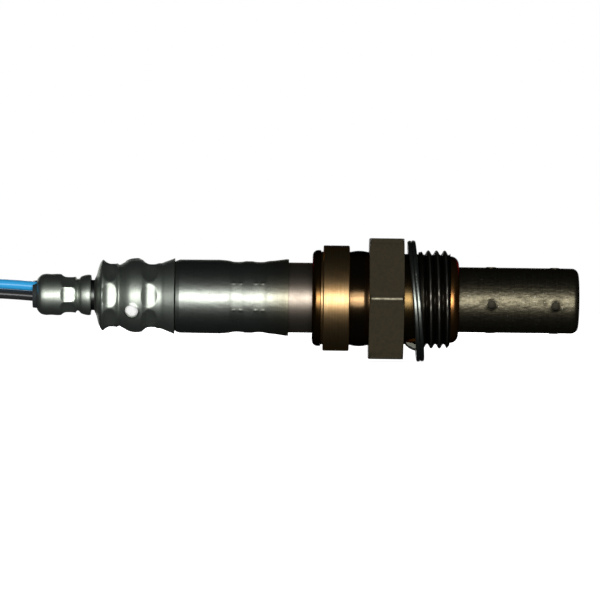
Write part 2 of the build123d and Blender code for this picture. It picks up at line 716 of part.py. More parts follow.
with BuildPart() as main_casing:
    with BuildSketch(Plane.XZ):
        sheet_section(casing_outer, casing_inner, Polyline)
    revolve(axis=Axis.X)
    for angle in even_angles(CRIMP_SIDES):
        with Locations(outward_plane(flats_middle, angle, CASING_FLATS / 2)):
            above = (Align.CENTER, Align.CENTER, Align.MIN)
            Box(flats_length, CASING_FLATS, CASING_FLATS, align=above, mode=Mode.SUBTRACT)
    for crimp_x, crimp_flats in CASING_CRIMPS:
        press_crimps(crimp_x, crimp_flats, CASING_ROLLER)
    for angle in VENT_ANGLES:
        with Locations(outward_plane(VENT_X, angle, UPPER_RADIUS)):
            Cylinder(INNER_VENT / 2, PUNCH_WALLS * CASING_WALL, mode=Mode.SUBTRACT)

# Filter cover: domed end, vent bulge with three holes, two crimped grooves, belled end
cover_inner = shifted(COVER_OUTLINE, COVER_WALL)
for crimp_x, crimp_flats in COVER_CRIMPS:
    crimp_span = band(crimp_x, COVER_CRIMP_HALF)
    cover_inner = kept_under(cover_inner, crimp_span, crimp_flats / 2 - COVER_WALL)
bulge_radius = max(r for x, r in COVER_OUTLINE if abs(x - VENT_X) < VENT_HOLE)
with BuildPart() as filter_cover:
    with BuildSketch(Plane.XZ):
        sheet_section(COVER_OUTLINE, cover_inner, Spline)
    revolve(axis=Axis.X)
    for crimp_x, crimp_flats in COVER_CRIMPS:
        press_crimps(crimp_x, crimp_flats, COVER_ROLLER)
    for angle in VENT_ANGLES:
        raised_hole(VENT_X, angle, bulge_radius, COVER_WALL, VENT_HOLE)

# White filter: fills the space between the cover and the casing's upper part
with BuildPart() as vent_filter:
    filter_outer = shifted(cover_inner, FILTER_GAP)
    filter_outer = [p for p in filter_outer if FILTER_SPAN[0] < p[0] < FILTER_SPAN[1]]
    filter_inner = [(x, UPPER_RADIUS + FIT_GAP) for x, _ in filter_outer]
    with BuildSketch(Plane.XZ):
        sheet_section(filter_outer, filter_inner, Polyline)
    revolve(axis=Axis.X)

# Crimped sleeve at the wire end, and the rubber bung in it
cap_inner = shifted(CAP_OUTLINE, CAP_WALL)
cap_crimp_span = band(CAP_CRIMP[0], CAP_CRIMP_HALF)
cap_inner = kept_under(cap_inner, cap_crimp_span, CAP_CRIMP[1] / 2 - CAP_WALL)
with BuildPart() as grommet_cap:
    with BuildSketch(Plane.XZ):
        sheet_section(CAP_OUTLINE, cap_inner, Spline)
    revolve(axis=Axis.X)
    press_crimps(*CAP_CRIMP, CAP_ROLLER)


def lead_route(side, level):
    """The points of one lead, which keeps its place beside the others through the bends."""
    points = []
    for place, (x, z, spread) in enumerate(LEAD_STATIONS):
        x_before, z_before, _ = LEAD_STATIONS[max(place - 1, 0)]
        x_after, z_after, _ = LEAD_STATIONS[min(place + 1, len(LEAD_STATIONS) - 1)]
        slope_before = atan2(z_before - z, x_before - x) if place else 0
        slope_after = atan2(z - z_after, x - x_after) if x > LOOM_START_X else 0
        slope = (slope_before + slope_after) / 2
        reach = level * spread / cos((slope_after - slope_before) / 2)
        points.append((x - sin(slope) * reach, side * spread, z + cos(slope) * reach))
    return points


def bend_radii(points):
    """The radius of each bend: as large as its two runs allow."""
    radii = []
    for before, at, after in zip(points, points[1:], points[2:]):
        run_in = Vector(*at) - Vector(*before)
        run_out = Vector(*after) - Vector(*at)
        half_turn = radians(run_in.get_angle(run_out)) / 2
        shorter = min(run_in.length, run_out.length)
        radii.append(BEND_SHARE * shorter / tan(half_turn))
    return radii


def flexible_tube(points, radius):
    """A round solid along straight runs and the arcs between them."""
    radii = bend_radii(points)
    with BuildPart() as tube:
        with BuildLine() as path:
            FilletPolyline(*points, radius=radii)
        with BuildSketch(Plane(origin=path.line @ 0, z_dir=path.line % 0)) as section:
            Circle(radius)
        sweep()
    length = sum(edge.length for edge in path.edges())
    share = tube.part.volume / (section.sketch.area * length)
    print("bend radii", [round(r, 1) for r in radii], "length", round(length, 1))
    print("volume over section times length", round(share, 4))
    return tube.part


# Rubber bung, with a hole for each lead
with BuildPart() as grommet:
    bung_outer = shifted(cap_inner, FIT_GAP)
    bung_outer = [p for p in bung_outer[1:] if p[0] < BUNG_FRONT_X]
    mouth_x = CAP_OUTLINE[0][0]
    with BuildSketch(Plane.XZ):
        with BuildLine():
            Polyline(
                (mouth_x - BUNG_DOME, 0),
                (mouth_x - BUNG_DOME, BUNG_TIP_RADIUS),
                (mouth_x, cap_inner[0][1] - FIT_GAP),
                (cap_inner[0][0], cap_inner[0][1] - FIT_GAP),
                *bung_outer,
                (bung_outer[-1][0], 0),
                (mouth_x - BUNG_DOME, 0),
            )
        make_face()
    revolve(axis=Axis.X)
    for side, level in LEADS.values():
        points = lead_route(side, level)
        with BuildLine() as hole_path:
            FilletPolyline(*points, radius=bend_radii(points))
        with BuildSketch(Plane(origin=hole_path.line @ 0, z_dir=hole_path.line % 0)):
            Circle(LEAD_RADIUS + LEAD_HOLE_GAP)
        sweep(path=hole_path.line, mode=Mode.SUBTRACT)

# Terminal block: its flange stands on the lower tube's end
with BuildPart() as rear_insulator:
    flange_front_x = TUBE_BACK_X - FIT_GAP
    flange_back_x = flange_front_x - BLOCK_FLANGE_LENGTH
    with BuildSketch(Plane.XZ):
        turned(
            (BLOCK_BACK_X, 0, 0),
            (BLOCK_BACK_X, BLOCK_RADIUS, BLOCK_CHAMFER),
            (flange_back_x, BLOCK_RADIUS, 0),
            (flange_back_x, BLOCK_FLANGE_RADIUS, BLOCK_CHAMFER),
            (flange_front_x, BLOCK_FLANGE_RADIUS, 0),
            (flange_front_x, BLOCK_RADIUS, 0),
            (BLOCK_FRONT_X, BLOCK_RADIUS, BLOCK_CHAMFER),
            (BLOCK_FRONT_X, 0, 0),
        )
    revolve(axis=Axis.X)
    with BuildSketch(Plane.YZ.offset(BLOCK_BACK_X)):
        with GridLocations(2 * TERMINAL_OFFSET, 2 * TERMINAL_OFFSET, 2, 2):
            Circle(TERMINAL_HOLE_RADIUS)
    extrude(amount=BLOCK_FRONT_X - BLOCK_BACK_X, mode=Mode.SUBTRACT)

# Dished spring ring between the block and the casing's shoulder
with BuildPart() as insulator_spring:
    inner_edge_x = BLOCK_BACK_X - FIT_GAP
    outer_edge_x = inner_edge_x - SPRING_DISH
    with BuildSketch(Plane.XZ):
        turned(
            (inner_edge_x, SPRING_BORE, 0),
            (outer_edge_x, SPRING_RADIUS, 0),
            (outer_edge_x - SPRING_THICK, SPRING_RADIUS, 0),
            (inner_edge_x - SPRING_THICK, SPRING_BORE, 0),
        )
    revolve(axis=Axis.X)

strip_radius = hypot(TERMINAL_OFFSET, TERMINAL_OFFSET)


def add_terminal(side, level, blade_front_x, tab_radius, tab_x):
    """Adds a crimp barrel, a blade through the block, and a tab in or out from its end."""
    angle = degrees(atan2(level, side))
    middle = (side * TERMINAL_OFFSET, level * TERMINAL_OFFSET)
    back = Plane(origin=(BARREL_FRONT_X - BARREL_LENGTH, *middle), z_dir=(1, 0, 0))
    bottom = (Align.CENTER, Align.CENTER, Align.MIN)
    with Locations(back):
        Cylinder(BARREL_BORE + BARREL_WALL, BARREL_LENGTH + STRIP_THICK, align=bottom)
        Cylinder(BARREL_BORE, BARREL_LENGTH, align=bottom, mode=Mode.SUBTRACT)
    low = min(tab_radius, strip_radius - STRIP_THICK / 2)
    high = max(tab_radius, strip_radius + STRIP_THICK / 2)
    with BuildSketch(radial_plane(angle)) as strip:
        with Locations(((BARREL_FRONT_X + blade_front_x) / 2, strip_radius)):
            Rectangle(blade_front_x - BARREL_FRONT_X, STRIP_THICK)
        with Locations((tab_x + STRIP_THICK / 2, (low + high) / 2)):
            Rectangle(STRIP_THICK, high - low)
    extrude(strip.sketch, amount=STRIP_WIDTH / 2, both=True)


def contact_sleeve(span, bore_radius):
    """Fills the section of a thin sleeve round the axis."""
    turned(
        (span[0], bore_radius, 0),
        (span[0], bore_radius + CONTACT_WALL, 0),
        (span[1], bore_radius + CONTACT_WALL, 0),
        (span[1], bore_radius, 0),
    )


# Contact round the thimble's mouth
with BuildPart() as outer_contact:
    sleeve_bore = THIMBLE_MOUTH_RADIUS + FIT_GAP
    back_x = OUTER_CONTACT_SPAN[0]
    tab_top = sleeve_bore + CONTACT_WALL / 2
    add_terminal(*LEADS["lead_white"], back_x + STRIP_THICK, tab_top, back_x)
    with BuildSketch(Plane.XZ):
        contact_sleeve(OUTER_CONTACT_SPAN, sleeve_bore)
    revolve(axis=Axis.X)

# Contact in the thimble's bore, round the heater
with BuildPart() as inner_contact:
    sleeve_bore = THIMBLE_BORE - FIT_GAP - CONTACT_WALL
    back_x = INNER_CONTACT_SPAN[0]
    tab_bottom = sleeve_bore + CONTACT_WALL / 4
    add_terminal(*LEADS["lead_black_1"], back_x + STRIP_THICK, tab_bottom, back_x)
    with BuildSketch(Plane.XZ):
        contact_sleeve(INNER_CONTACT_SPAN, sleeve_bore)
    revolve(axis=Axis.X)


def heater_terminal(side, level):
    """A terminal whose tab carries a pad along the heater rod."""
    pad_bottom = HEATER_RADIUS + FIT_GAP
    with BuildPart() as terminal:
        add_terminal(side, level, HEATER_TAB_X + STRIP_THICK, pad_bottom, HEATER_TAB_X)
        with BuildSketch(radial_plane(degrees(atan2(level, side)))):
            with Locations((sum(HEATER_PAD_SPAN) / 2, pad_bottom + STRIP_THICK / 2)):
                Rectangle(HEATER_PAD_SPAN[1] - HEATER_PAD_SPAN[0], STRIP_THICK)
        extrude(amount=STRIP_WIDTH / 2, both=True)
    return terminal.part


# Loom: straight entry, hank with one fold, free end to the plug
with BuildPart() as loom_entry:
    with BuildSketch(Plane.YZ.offset(HANK_START_X)):
        with Locations((0, LOOM_Z)):
            Circle(LOOM_RADIUS)
    extrude(amount=LOOM_START_X - HANK_START_X)

hank_middle_y = -RUN_PITCH / 2
neck_end_x = HANK_START_X - HANK_NECK
with BuildPart() as loom_hank:
    with BuildSketch(Plane.XY.offset(FLOOR_Z)):
        with Locations((HANK_LOOP_X, hank_middle_y)):
            Circle(HANK_FOLD_RADIUS + LOOM_RADIUS)
        with Locations((neck_end_x, 0), (neck_end_x, -RUN_PITCH)):
            Circle(LOOM_RADIUS)
        make_hull()
        with BuildSketch(mode=Mode.SUBTRACT):
            with Locations((HANK_LOOP_X, hank_middle_y)):
                Circle(HANK_FOLD_RADIUS - LOOM_RADIUS)
            with Locations((neck_end_x - 2 * LOOM_RADIUS, hank_middle_y)):
                Circle(HANK_SLIT_ROUND)
            make_hull()
        with Locations((HANK_START_X - HANK_NECK / 2, hank_middle_y)):
            Rectangle(HANK_NECK, RUN_PITCH + 2 * LOOM_RADIUS)
    extrude(amount=2 * LOOM_RADIUS)
    across_ends = loom_hank.edges().filter_by(Axis.Y)
    top_and_bottom = loom_hank.edges().filter_by(Axis.Z, reverse=True) - across_ends
    fillet(top_and_bottom, radius=HANK_ROUND)
    with BuildSketch(Plane.YZ.offset(TIE_X - TIE_WIDTH / 2 - FIT_GAP)):
        with Locations((hank_middle_y, LOOM_Z)):
            Rectangle(RUN_PITCH + 4 * LOOM_RADIUS, 4 * LOOM_RADIUS)
            RectangleRounded(
                RUN_PITCH + 2 * LOOM_RADIUS - 2 * TIE_THICK,
                2 * LOOM_RADIUS - 2 * TIE_THICK,
                HANK_ROUND - TIE_THICK,
                mode=Mode.SUBTRACT,
            )
    extrude(amount=TIE_WIDTH + 2 * FIT_GAP, mode=Mode.SUBTRACT)

# Tie in the groove that it presses into the loom, with its head on top
with BuildPart() as hank_tie:
    with BuildSketch(Plane.YZ.offset(TIE_X - TIE_WIDTH / 2)):
        with Locations((hank_middle_y, LOOM_Z)):
            RectangleRounded(RUN_PITCH + 2 * LOOM_RADIUS, 2 * LOOM_RADIUS, HANK_ROUND)
            RectangleRounded(
                RUN_PITCH + 2 * LOOM_RADIUS - 2 * TIE_THICK + 2 * FIT_GAP,
                2 * LOOM_RADIUS - 2 * TIE_THICK + 2 * FIT_GAP,
                HANK_ROUND - TIE_THICK + FIT_GAP,
                mode=Mode.SUBTRACT,
            )
    extrude(amount=TIE_WIDTH)
    with Locations((TIE_X, hank_middle_y, FLOOR_Z + 2 * LOOM_RADIUS)):
        above = (Align.CENTER, Align.CENTER, Align.MIN)
        Box(TIE_WIDTH, TIE_HEAD_WIDTH, TIE_HEAD_HEIGHT, align=above)

# Plug: moulded shell with a hood, a core with four slots, a seal pocket and a latch
with BuildPart() as connector_housing:
    plug_middle = (PLUG_Y, PLUG_Z)
    with BuildSketch(Plane.YZ.offset(PLUG_BACK_X)):
        with Locations(plug_middle):
            RectangleRounded(PLUG_WIDTH, PLUG_HEIGHT, PLUG_ROUND)
    extrude(amount=PLUG_LENGTH)
    with BuildSketch(Plane.YZ.offset(PLUG_FRONT_X - PLUG_HOOD)):
        with Locations(plug_middle):
            Rectangle(*PLUG_HOOD_SIZE)
            Rectangle(*PLUG_CORE_SIZE, mode=Mode.SUBTRACT)
    extrude(amount=PLUG_HOOD, mode=Mode.SUBTRACT)
    with BuildSketch(Plane.YZ.offset(CORE_FRONT_X)):
        with Locations(plug_middle):
            Rectangle(*PLUG_HOOD_SIZE)
    extrude(amount=PLUG_CORE_SETBACK, mode=Mode.SUBTRACT)
    with BuildSketch(Plane.YZ.offset(PLUG_BACK_X)):
        with Locations(plug_middle):
            Rectangle(*PLUG_HOOD_SIZE)
    extrude(amount=PLUG_SEAL_DEPTH, mode=Mode.SUBTRACT)
    with BuildSketch(Plane.YZ.offset(PLUG_BACK_X)):
        with Locations(plug_middle):
            with GridLocations(*PLUG_SLOT_PITCH, 2, 2):
                Rectangle(*PLUG_SLOT)
    extrude(amount=PLUG_LENGTH, mode=Mode.SUBTRACT)
    latch_back_x = PLUG_BACK_X + PLUG_SEAL_DEPTH
    with BuildSketch(Plane.XZ.offset(-PLUG_Y)):
        low_z = FLOOR_Z + PLUG_HEIGHT
        arm_z = low_z + LATCH_RISE
        with BuildLine():
            Polyline(
                (latch_back_x, low_z - PLUG_WALL / 2),
                (latch_back_x, arm_z + LATCH_THICK),
                (latch_back_x + LATCH_LENGTH - LATCH_THICK, arm_z + LATCH_THICK),
                (latch_back_x + LATCH_LENGTH, arm_z),
                (latch_back_x + LATCH_ROOT, arm_z),
                (latch_back_x + LATCH_ROOT, low_z - PLUG_WALL / 2),
                (latch_back_x, low_z - PLUG_WALL / 2),
            )
        make_face()
    extrude(amount=LATCH_WIDTH / 2, both=True)

# Rubber seal behind the plug's core, with a hole for each lead
with BuildPart() as connector_seal:
    with BuildSketch(Plane.YZ.offset(PLUG_BACK_X)):
        with Locations(plug_middle):
            Rectangle(PLUG_HOOD_SIZE[0] - 2 * FIT_GAP, PLUG_HOOD_SIZE[1] - 2 * FIT_GAP)
            with GridLocations(*PLUG_SLOT_PITCH, 2, 2):
                Circle(LEAD_RADIUS, mode=Mode.SUBTRACT)
    extrude(amount=PLUG_SEAL_DEPTH)

# Rear cover: from the plug's outline down to a round nozzle for the loom
with BuildPart() as connector_cover:
    nozzle_middle = (PLUG_Y, NOZZLE_Z)
    with BuildSketch(Plane.YZ.offset(PLUG_BACK_X)):
        with Locations(plug_middle):
            RectangleRounded(PLUG_WIDTH, PLUG_HEIGHT, PLUG_ROUND)
    with BuildSketch(Plane.YZ.offset(NOZZLE_FRONT_X)):
        with Locations(nozzle_middle):
            Circle(NOZZLE_RADIUS)
    loft()
    with BuildSketch(Plane.YZ.offset(NOZZLE_BACK_X)):
        with Locations(nozzle_middle):
            Circle(NOZZLE_RADIUS)
    extrude(amount=COVER_NOZZLE)
    with BuildSketch(Plane.YZ.offset(PLUG_BACK_X)):
        with Locations(plug_middle):
            inside = (PLUG_WIDTH - 2 * PLUG_COVER_WALL, PLUG_HEIGHT - 2 * PLUG_COVER_WALL)
            RectangleRounded(*inside, COVER_INNER_ROUND)
    with BuildSketch(Plane.YZ.offset(NOZZLE_FRONT_X)):
        with Locations(nozzle_middle):
            Circle(LOOM_RADIUS + FIT_GAP)
    loft(mode=Mode.SUBTRACT)
    with BuildSketch(Plane.YZ.offset(NOZZLE_BACK_X)):
        with Locations(nozzle_middle):
            Circle(LOOM_RADIUS + FIT_GAP)
    extrude(amount=COVER_NOZZLE, mode=Mode.SUBTRACT)

# Secondary lock: a plate before the core, with a clip down each side of it
with BuildPart() as connector_lock:
    clip_length, clip_thick = LOCK_CLIP
    plate_width = PLUG_CORE_SIZE[0] + 2 * (FIT_GAP + clip_thick)
    with BuildSketch(Plane.YZ.offset(CORE_FRONT_X)):
        with Locations(plug_middle):
            Rectangle(plate_width, PLUG_CORE_SIZE[1])
            with GridLocations(*PLUG_SLOT_PITCH, 2, 2):
                Rectangle(*LOCK_HOLE, mode=Mode.SUBTRACT)
    extrude(amount=LOCK_THICK)
    with BuildSketch(Plane.YZ.offset(CORE_FRONT_X - clip_length)):
        with Locations(plug_middle):
            with GridLocations(plate_width - clip_thick, 1, 2, 1):
                Rectangle(clip_thick, LOCK_CLIP_WIDTH)
    extrude(amount=clip_length)


def plug_terminal(side, level):
    """A square socket with a crimp barrel, in one slot of the plug's core."""
    y = PLUG_Y + side * PLUG_SLOT_PITCH[0] / 2
    z = PLUG_Z + level * PLUG_SLOT_PITCH[1] / 2
    front_x = CORE_FRONT_X - LOCK_THICK / 2
    socket_back_x = front_x - PLUG_TERMINAL_LENGTH
    barrel_radius = PLUG_TERMINAL[1] / 2
    with BuildPart() as terminal:
        with BuildSketch(Plane.YZ.offset(socket_back_x)):
            with Locations((y, z)):
                Rectangle(*PLUG_TERMINAL)
        extrude(amount=PLUG_TERMINAL_LENGTH)
        with BuildSketch(Plane.YZ.offset(socket_back_x - PLUG_BARREL_LENGTH)):
            with Locations((y, z)):
                Circle(barrel_radius)
        extrude(amount=PLUG_BARREL_LENGTH)
        with BuildSketch(Plane.YZ.offset(front_x)):
            with Locations((y, z)):
                Rectangle(*(size - 2 * PLUG_TERMINAL_WALL for size in PLUG_TERMINAL))
        extrude(amount=-PLUG_TERMINAL_DEPTH, mode=Mode.SUBTRACT)
        with BuildSketch(Plane.YZ.offset(socket_back_x - PLUG_BARREL_LENGTH)):
            with Locations((y, z)):
                Circle(barrel_radius - PLUG_TERMINAL_WALL)
        extrude(amount=PLUG_BARREL_DEPTH, mode=Mode.SUBTRACT)
    return terminal.part


pieces = {
    "housing": housing.part,
    "gasket": gasket.part,
    "outer_protector": outer_protector.part,
    "inner_protector": inner_protector.part,
    "zirconia_element": zirconia_element.part,
    "heater_rod": heater_rod.part,
    "seat_packing": seat_packing.part,
    "talc_seal": talc_seal.part,
    "insulator_ring": insulator_ring.part,
    "lock_ring": lock_ring.part,
    "lower_tube": lower_tube.part,
    "main_casing": main_casing.part,
    "filter_cover": filter_cover.part,
    "vent_filter": vent_filter.part,
    "grommet_cap": grommet_cap.part,
    "grommet": grommet.part,
    "rear_insulator": rear_insulator.part,
    "insulator_spring": insulator_spring.part,
    "outer_contact": outer_contact.part,
    "inner_contact": inner_contact.part,
    "heater_terminal_1": heater_terminal(*LEADS["lead_blue"]),
    "heater_terminal_2": heater_terminal(*LEADS["lead_black_2"]),
    "loom_entry": loom_entry.part,
    "loom_hank": loom_hank.part,
    "loom_tail": flexible_tube(TAIL_ROUTE, LOOM_RADIUS),
    "hank_tie": hank_tie.part,
    "connector_housing": connector_housing.part,
    "connector_seal": connector_seal.part,
    "connector_cover": connector_cover.part,
    "connector_lock": connector_lock.part,
}
for lead_name, (side, level) in LEADS.items():
    pieces[lead_name] = flexible_tube(lead_route(side, level), LEAD_RADIUS)
for number, (side, level) in enumerate(LEADS.values(), start=1):
    pieces[f"connector_terminal_{number}"] = plug_terminal(side, level)

os.makedirs("parts", exist_ok=True)
for piece_name, piece in pieces.items():
    piece.label = piece_name
    export_step(piece, f"parts/{piece_name}.step")
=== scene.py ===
"""Looks of a screw-in exhaust oxygen sensor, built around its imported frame.

Lengths are in millimetres until a mesh is made, and X is the sensor's axis, with the nose at +X.
"""

import logging
import math
from collections.abc import Callable, Sequence
from dataclasses import dataclass
from enum import Enum

import bmesh
import bpy
import numpy as np
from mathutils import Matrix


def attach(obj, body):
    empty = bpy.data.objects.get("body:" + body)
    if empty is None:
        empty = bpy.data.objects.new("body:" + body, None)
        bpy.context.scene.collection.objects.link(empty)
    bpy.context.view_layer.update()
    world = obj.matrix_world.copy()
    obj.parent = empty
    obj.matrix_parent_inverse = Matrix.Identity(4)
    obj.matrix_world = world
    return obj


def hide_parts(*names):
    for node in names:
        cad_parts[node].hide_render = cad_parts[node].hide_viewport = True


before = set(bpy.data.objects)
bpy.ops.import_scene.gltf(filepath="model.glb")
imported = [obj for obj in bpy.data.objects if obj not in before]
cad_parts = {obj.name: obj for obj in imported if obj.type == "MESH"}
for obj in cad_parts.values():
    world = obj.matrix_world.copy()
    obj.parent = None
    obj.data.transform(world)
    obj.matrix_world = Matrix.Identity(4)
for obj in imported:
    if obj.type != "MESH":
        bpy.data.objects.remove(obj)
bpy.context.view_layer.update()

MM = 0.001
BODY = "root"
CORD_STEPS = 12
CORD_BEVEL = 6
POLE_REACH = 1e-7
POLE_JOIN = 1e-6
HALF_FLAT = math.radians(30.0)
Colour = tuple[float, float, float]
Point = tuple[float, float, float]
Corner = tuple[float, float, float]
Spot = tuple[float, float]
Profile = Sequence[Spot]

log = logging.getLogger("oxygen_sensor")


def operator(kind: str, swapped: bool = False) -> "Callable[[Wire, Wire | float], Wire]":
    """Makes an operator's method, which puts a Math node between a socket and a value.

    Args:
        kind: The Math node's operation.
        swapped: Whether the value comes first.

    Returns:
        The method.
    """

    def method(self: "Wire", other: "Wire | float") -> "Wire":
        """Puts the Math node between this socket and the other value."""
        return self.graph.maths(kind, *((other, self) if swapped else (self, other)))

    return method


class Wire:
    """A node's output that Python's operators can use in an expression."""

    def __init__(self, graph: "Graph", socket: bpy.types.NodeSocket) -> None:
        """Keeps the socket and the graph that it belongs to."""
        self.graph = graph
        self.socket = socket

    __add__ = __radd__ = operator("ADD")
    __sub__ = operator("SUBTRACT")
    __rsub__ = operator("SUBTRACT", swapped=True)
    __mul__ = __rmul__ = operator("MULTIPLY")
    __truediv__ = operator("DIVIDE")
    __rtruediv__ = operator("DIVIDE", swapped=True)
    __lt__ = operator("LESS_THAN")
    __gt__ = operator("GREATER_THAN")

    def __abs__(self) -> "Wire":
        """Drops the sign."""
        return self.graph.maths("ABSOLUTE", self)


class Graph:
    """A node tree, for shaders or geometry, with one method that makes every node."""

    def __init__(self, tree: bpy.types.NodeTree) -> None:
        """Starts from an empty tree."""
        self.tree = tree
        tree.nodes.clear()

    def node(
        self,
        kind: str,
        settings: dict | None = None,
        inputs: dict | None = None,
        output: int | str = 0,
    ) -> Wire:
        """Makes a node.

        Args:
            kind: The node's type.
            settings: Its properties, set first; "stops" are a colour ramp's (place, colour) pairs.
            inputs: Values or wires, by the input's name or number.
            output: The output that is returned, by name or number.

        Returns:
            The chosen output.
        """
        made = self.tree.nodes.new(kind)
        for name, value in (settings or {}).items():
            if name == "stops":
                self._fill_ramp(made.color_ramp, value)
            else:
                setattr(made, name, value)
        for key, value in (inputs or {}).items():
            if isinstance(value, Wire):
                self.tree.links.new(value.socket, made.inputs[key])
            else:
                made.inputs[key].default_value = value
        return Wire(self, made.outputs[output]) if len(made.outputs) else Wire(self, None)

    @staticmethod
    def _fill_ramp(ramp: bpy.types.ColorRamp, stops: Sequence[tuple[float, Colour]]) -> None:
        """Gives a colour ramp its stops."""
        while len(ramp.elements) < len(stops):
            ramp.elements.new(1.0)
        for element, (place, colour) in zip(ramp.elements, stops):
            element.position = place
            element.color = (*colour, 1.0)

    def maths(self, operation: str, *values: "Wire | float") -> Wire:
        """Makes a Math node on up to three values."""
        return self.node("ShaderNodeMath", {"operation": operation}, dict(enumerate(values)))

    def smooth(self, value: Wire, low: float, high: float) -> Wire:
        """Goes smoothly from 0 at low to 1 at high."""
        steps = {"interpolation_type": "SMOOTHSTEP"}
        inputs = {"Value": value, "From Min": low, "From Max": high}
        return self.node("ShaderNodeMapRange", steps, inputs)

    def blend(self, share: "Wire | float", first: "Wire | Colour", second: "Wire | Colour") -> Wire:
        """Mixes two colours.

        Args:
            share: How much of the second colour shows, from 0 to 1.
            first: The colour at 0.
            second: The colour at 1.

        Returns:
            The mixed colour.
        """
        ends = [c if isinstance(c, Wire) else (*c, 1.0) for c in (first, second)]
        settings = {"data_type": "RGBA", "clamp_factor": True}
        return self.node("ShaderNodeMix", settings, {0: share, 6: ends[0], 7: ends[1]}, 2)

    def place(self) -> Wire:
        """The point on the piece, in its own coordinates."""
        return self.node("ShaderNodeTexCoord", output="Object")

    def parts(self, place: Wire) -> tuple[Wire, ...]:
        """The x, y and z of a place, in millimetres."""
        split = self.node("ShaderNodeSeparateXYZ", {}, {0: place}).socket.node.outputs
        return tuple(Wire(self, part) / MM for part in split)

    def polar_place(self) -> tuple[Wire, Wire]:
        """The point's place along the sensor's axis and its radius, in millimetres."""
        x, y, z = self.parts(self.place())
        return x, self.maths("SQRT", y * y + z * z)

    def grain(self, size: Point, detail: float = 3.0, roughness: float = 0.5) -> Wire:
        """Noise whose patches have about this size.

        Args:
            size: The size of a patch along X, Y and Z, in millimetres.
            detail: How many finer layers are added.
            roughness: The weight of the finer layers.

        Returns:
            Noise from 0 to 1.
        """
        scale = tuple(1.0 / (MM * length) for length in size)
        settings = {"vector_type": "POINT"}
        mapped = self.node("ShaderNodeMapping", settings, {"Vector": self.place(), "Scale": scale})
        inputs = {"Vector": mapped, "Scale": 1.0, "Detail": detail, "Roughness": roughness}
        return self.node("ShaderNodeTexNoise", {}, inputs)

    def vector(self, operation: str, *values: "Wire | Point") -> Wire:
        """Makes a Vector Math node on up to three vectors."""
        inputs = dict(enumerate(values))
        return self.node("ShaderNodeVectorMath", {"operation": operation}, inputs)

    def scaled(self, vector: Wire, share: Wire) -> Wire:
        """Stretches a vector by a number."""
        inputs = {"Vector": vector, "Scale": share}
        return self.node("ShaderNodeVectorMath", {"operation": "SCALE"}, inputs)

    def bump(self, height: Wire, depth: float) -> Wire:
        """A normal that shows a height, whose depth at 1 is in millimetres."""
        return self.node("ShaderNodeBump", {}, {"Height": height, "Distance": depth * MM})


class Maker(Graph):
    """A Geometry Nodes tree with named sizes, whose result becomes a plain mesh."""

    def __init__(self, name: str, sizes: dict[str, float]) -> None:
        """Makes the tree and its named inputs.

        Args:
            name: The tree's name.
            sizes: Each input's name and value, with lengths in millimetres.
        """
        super().__init__(bpy.data.node_groups.new(name, "GeometryNodeTree"))
        self.values: dict[str, float] = {}
        interface = self.tree.interface
        interface.new_socket("Blank", in_out="INPUT", socket_type="NodeSocketGeometry")
        for title, value in sizes.items():
            socket = interface.new_socket(title, in_out="INPUT", socket_type="NodeSocketFloat")
            self.values[socket.identifier] = value
        interface.new_socket("Piece", in_out="OUTPUT", socket_type="NodeSocketGeometry")
        self.entry = self.tree.nodes.new("NodeGroupInput")

    def __getitem__(self, title: str) -> Wire:
        """The named input."""
        return Wire(self, self.entry.outputs[title])

    def polar(self) -> tuple[Wire, Wire, Wire]:
        """Each point's place along the axis and radius, in millimetres, and angle, in radians."""
        x, y, z = self.parts(self.node("GeometryNodeInputPosition"))
        return x, self.maths("SQRT", y * y + z * z), self.maths("ARCTAN2", z, y)

    def reach_out(self, geometry: Wire, radius: Wire, wanted: Wire) -> Wire:
        """Moves each point of a turned piece to the wanted radius.

        Args:
            geometry: The piece.
            radius: Each point's radius.
            wanted: The radius that it gets.

        Returns:
            The moved piece.
        """
        share = wanted / radius
        place = self.node("GeometryNodeInputPosition")
        moved = self.vector("MULTIPLY", place, self.joined(1.0, share, share))
        return self.node("GeometryNodeSetPosition", {}, {"Geometry": geometry, "Position": moved})

    def joined(self, x: "Wire | float", y: "Wire | float", z: "Wire | float") -> Wire:
        """Makes a vector from three numbers."""
        return self.node("ShaderNodeCombineXYZ", {}, {0: x, 1: y, 2: z})

    def complete(self, geometry: Wire, finishes: "Sequence[tuple[Finish, Wire | None]]") -> None:
        """Ends the tree: realizes instances and gives the faces their finishes.

        Args:
            geometry: The piece.
            finishes: Each finish, with the faces it goes on, or None for all of them.
        """
        made = self.node("GeometryNodeRealizeInstances", {}, {"Geometry": geometry})
        for finish, chosen in finishes:
            inputs = {"Geometry": made, "Material": finish.material()}
            if chosen is not None:
                inputs["Selection"] = chosen
            made = self.node("GeometryNodeSetMaterial", {}, inputs)
        output = self.tree.nodes.new("NodeGroupOutput")
        self.tree.links.new(made.socket, output.inputs[0])

    def make(self, blank: bpy.types.Object, name: str, sharp: float = 35.0) -> bpy.types.Object:
        """Runs the tree on a blank and returns the plain mesh that comes out.

        Args:
            blank: The object that goes in; it is removed.
            name: The new piece's name.
            sharp: Edges sharper than this, in degrees, stay crisp.

        Returns:
            The piece.
        """
        modifier = blank.modifiers.new(name, "NODES")
        modifier.node_group = self.tree
        for identifier, value in self.values.items():
            modifier[identifier] = value
        graph = bpy.context.evaluated_depsgraph_get()
        mesh = bpy.data.meshes.new_from_object(blank.evaluated_get(graph), depsgraph=graph)
        blank.modifiers.remove(modifier)
        bpy.data.objects.remove(blank)
        mesh.name = name
        mesh.shade_smooth()
        mesh.set_sharp_from_angle(angle=math.radians(sharp))
        return add_object(name, mesh)


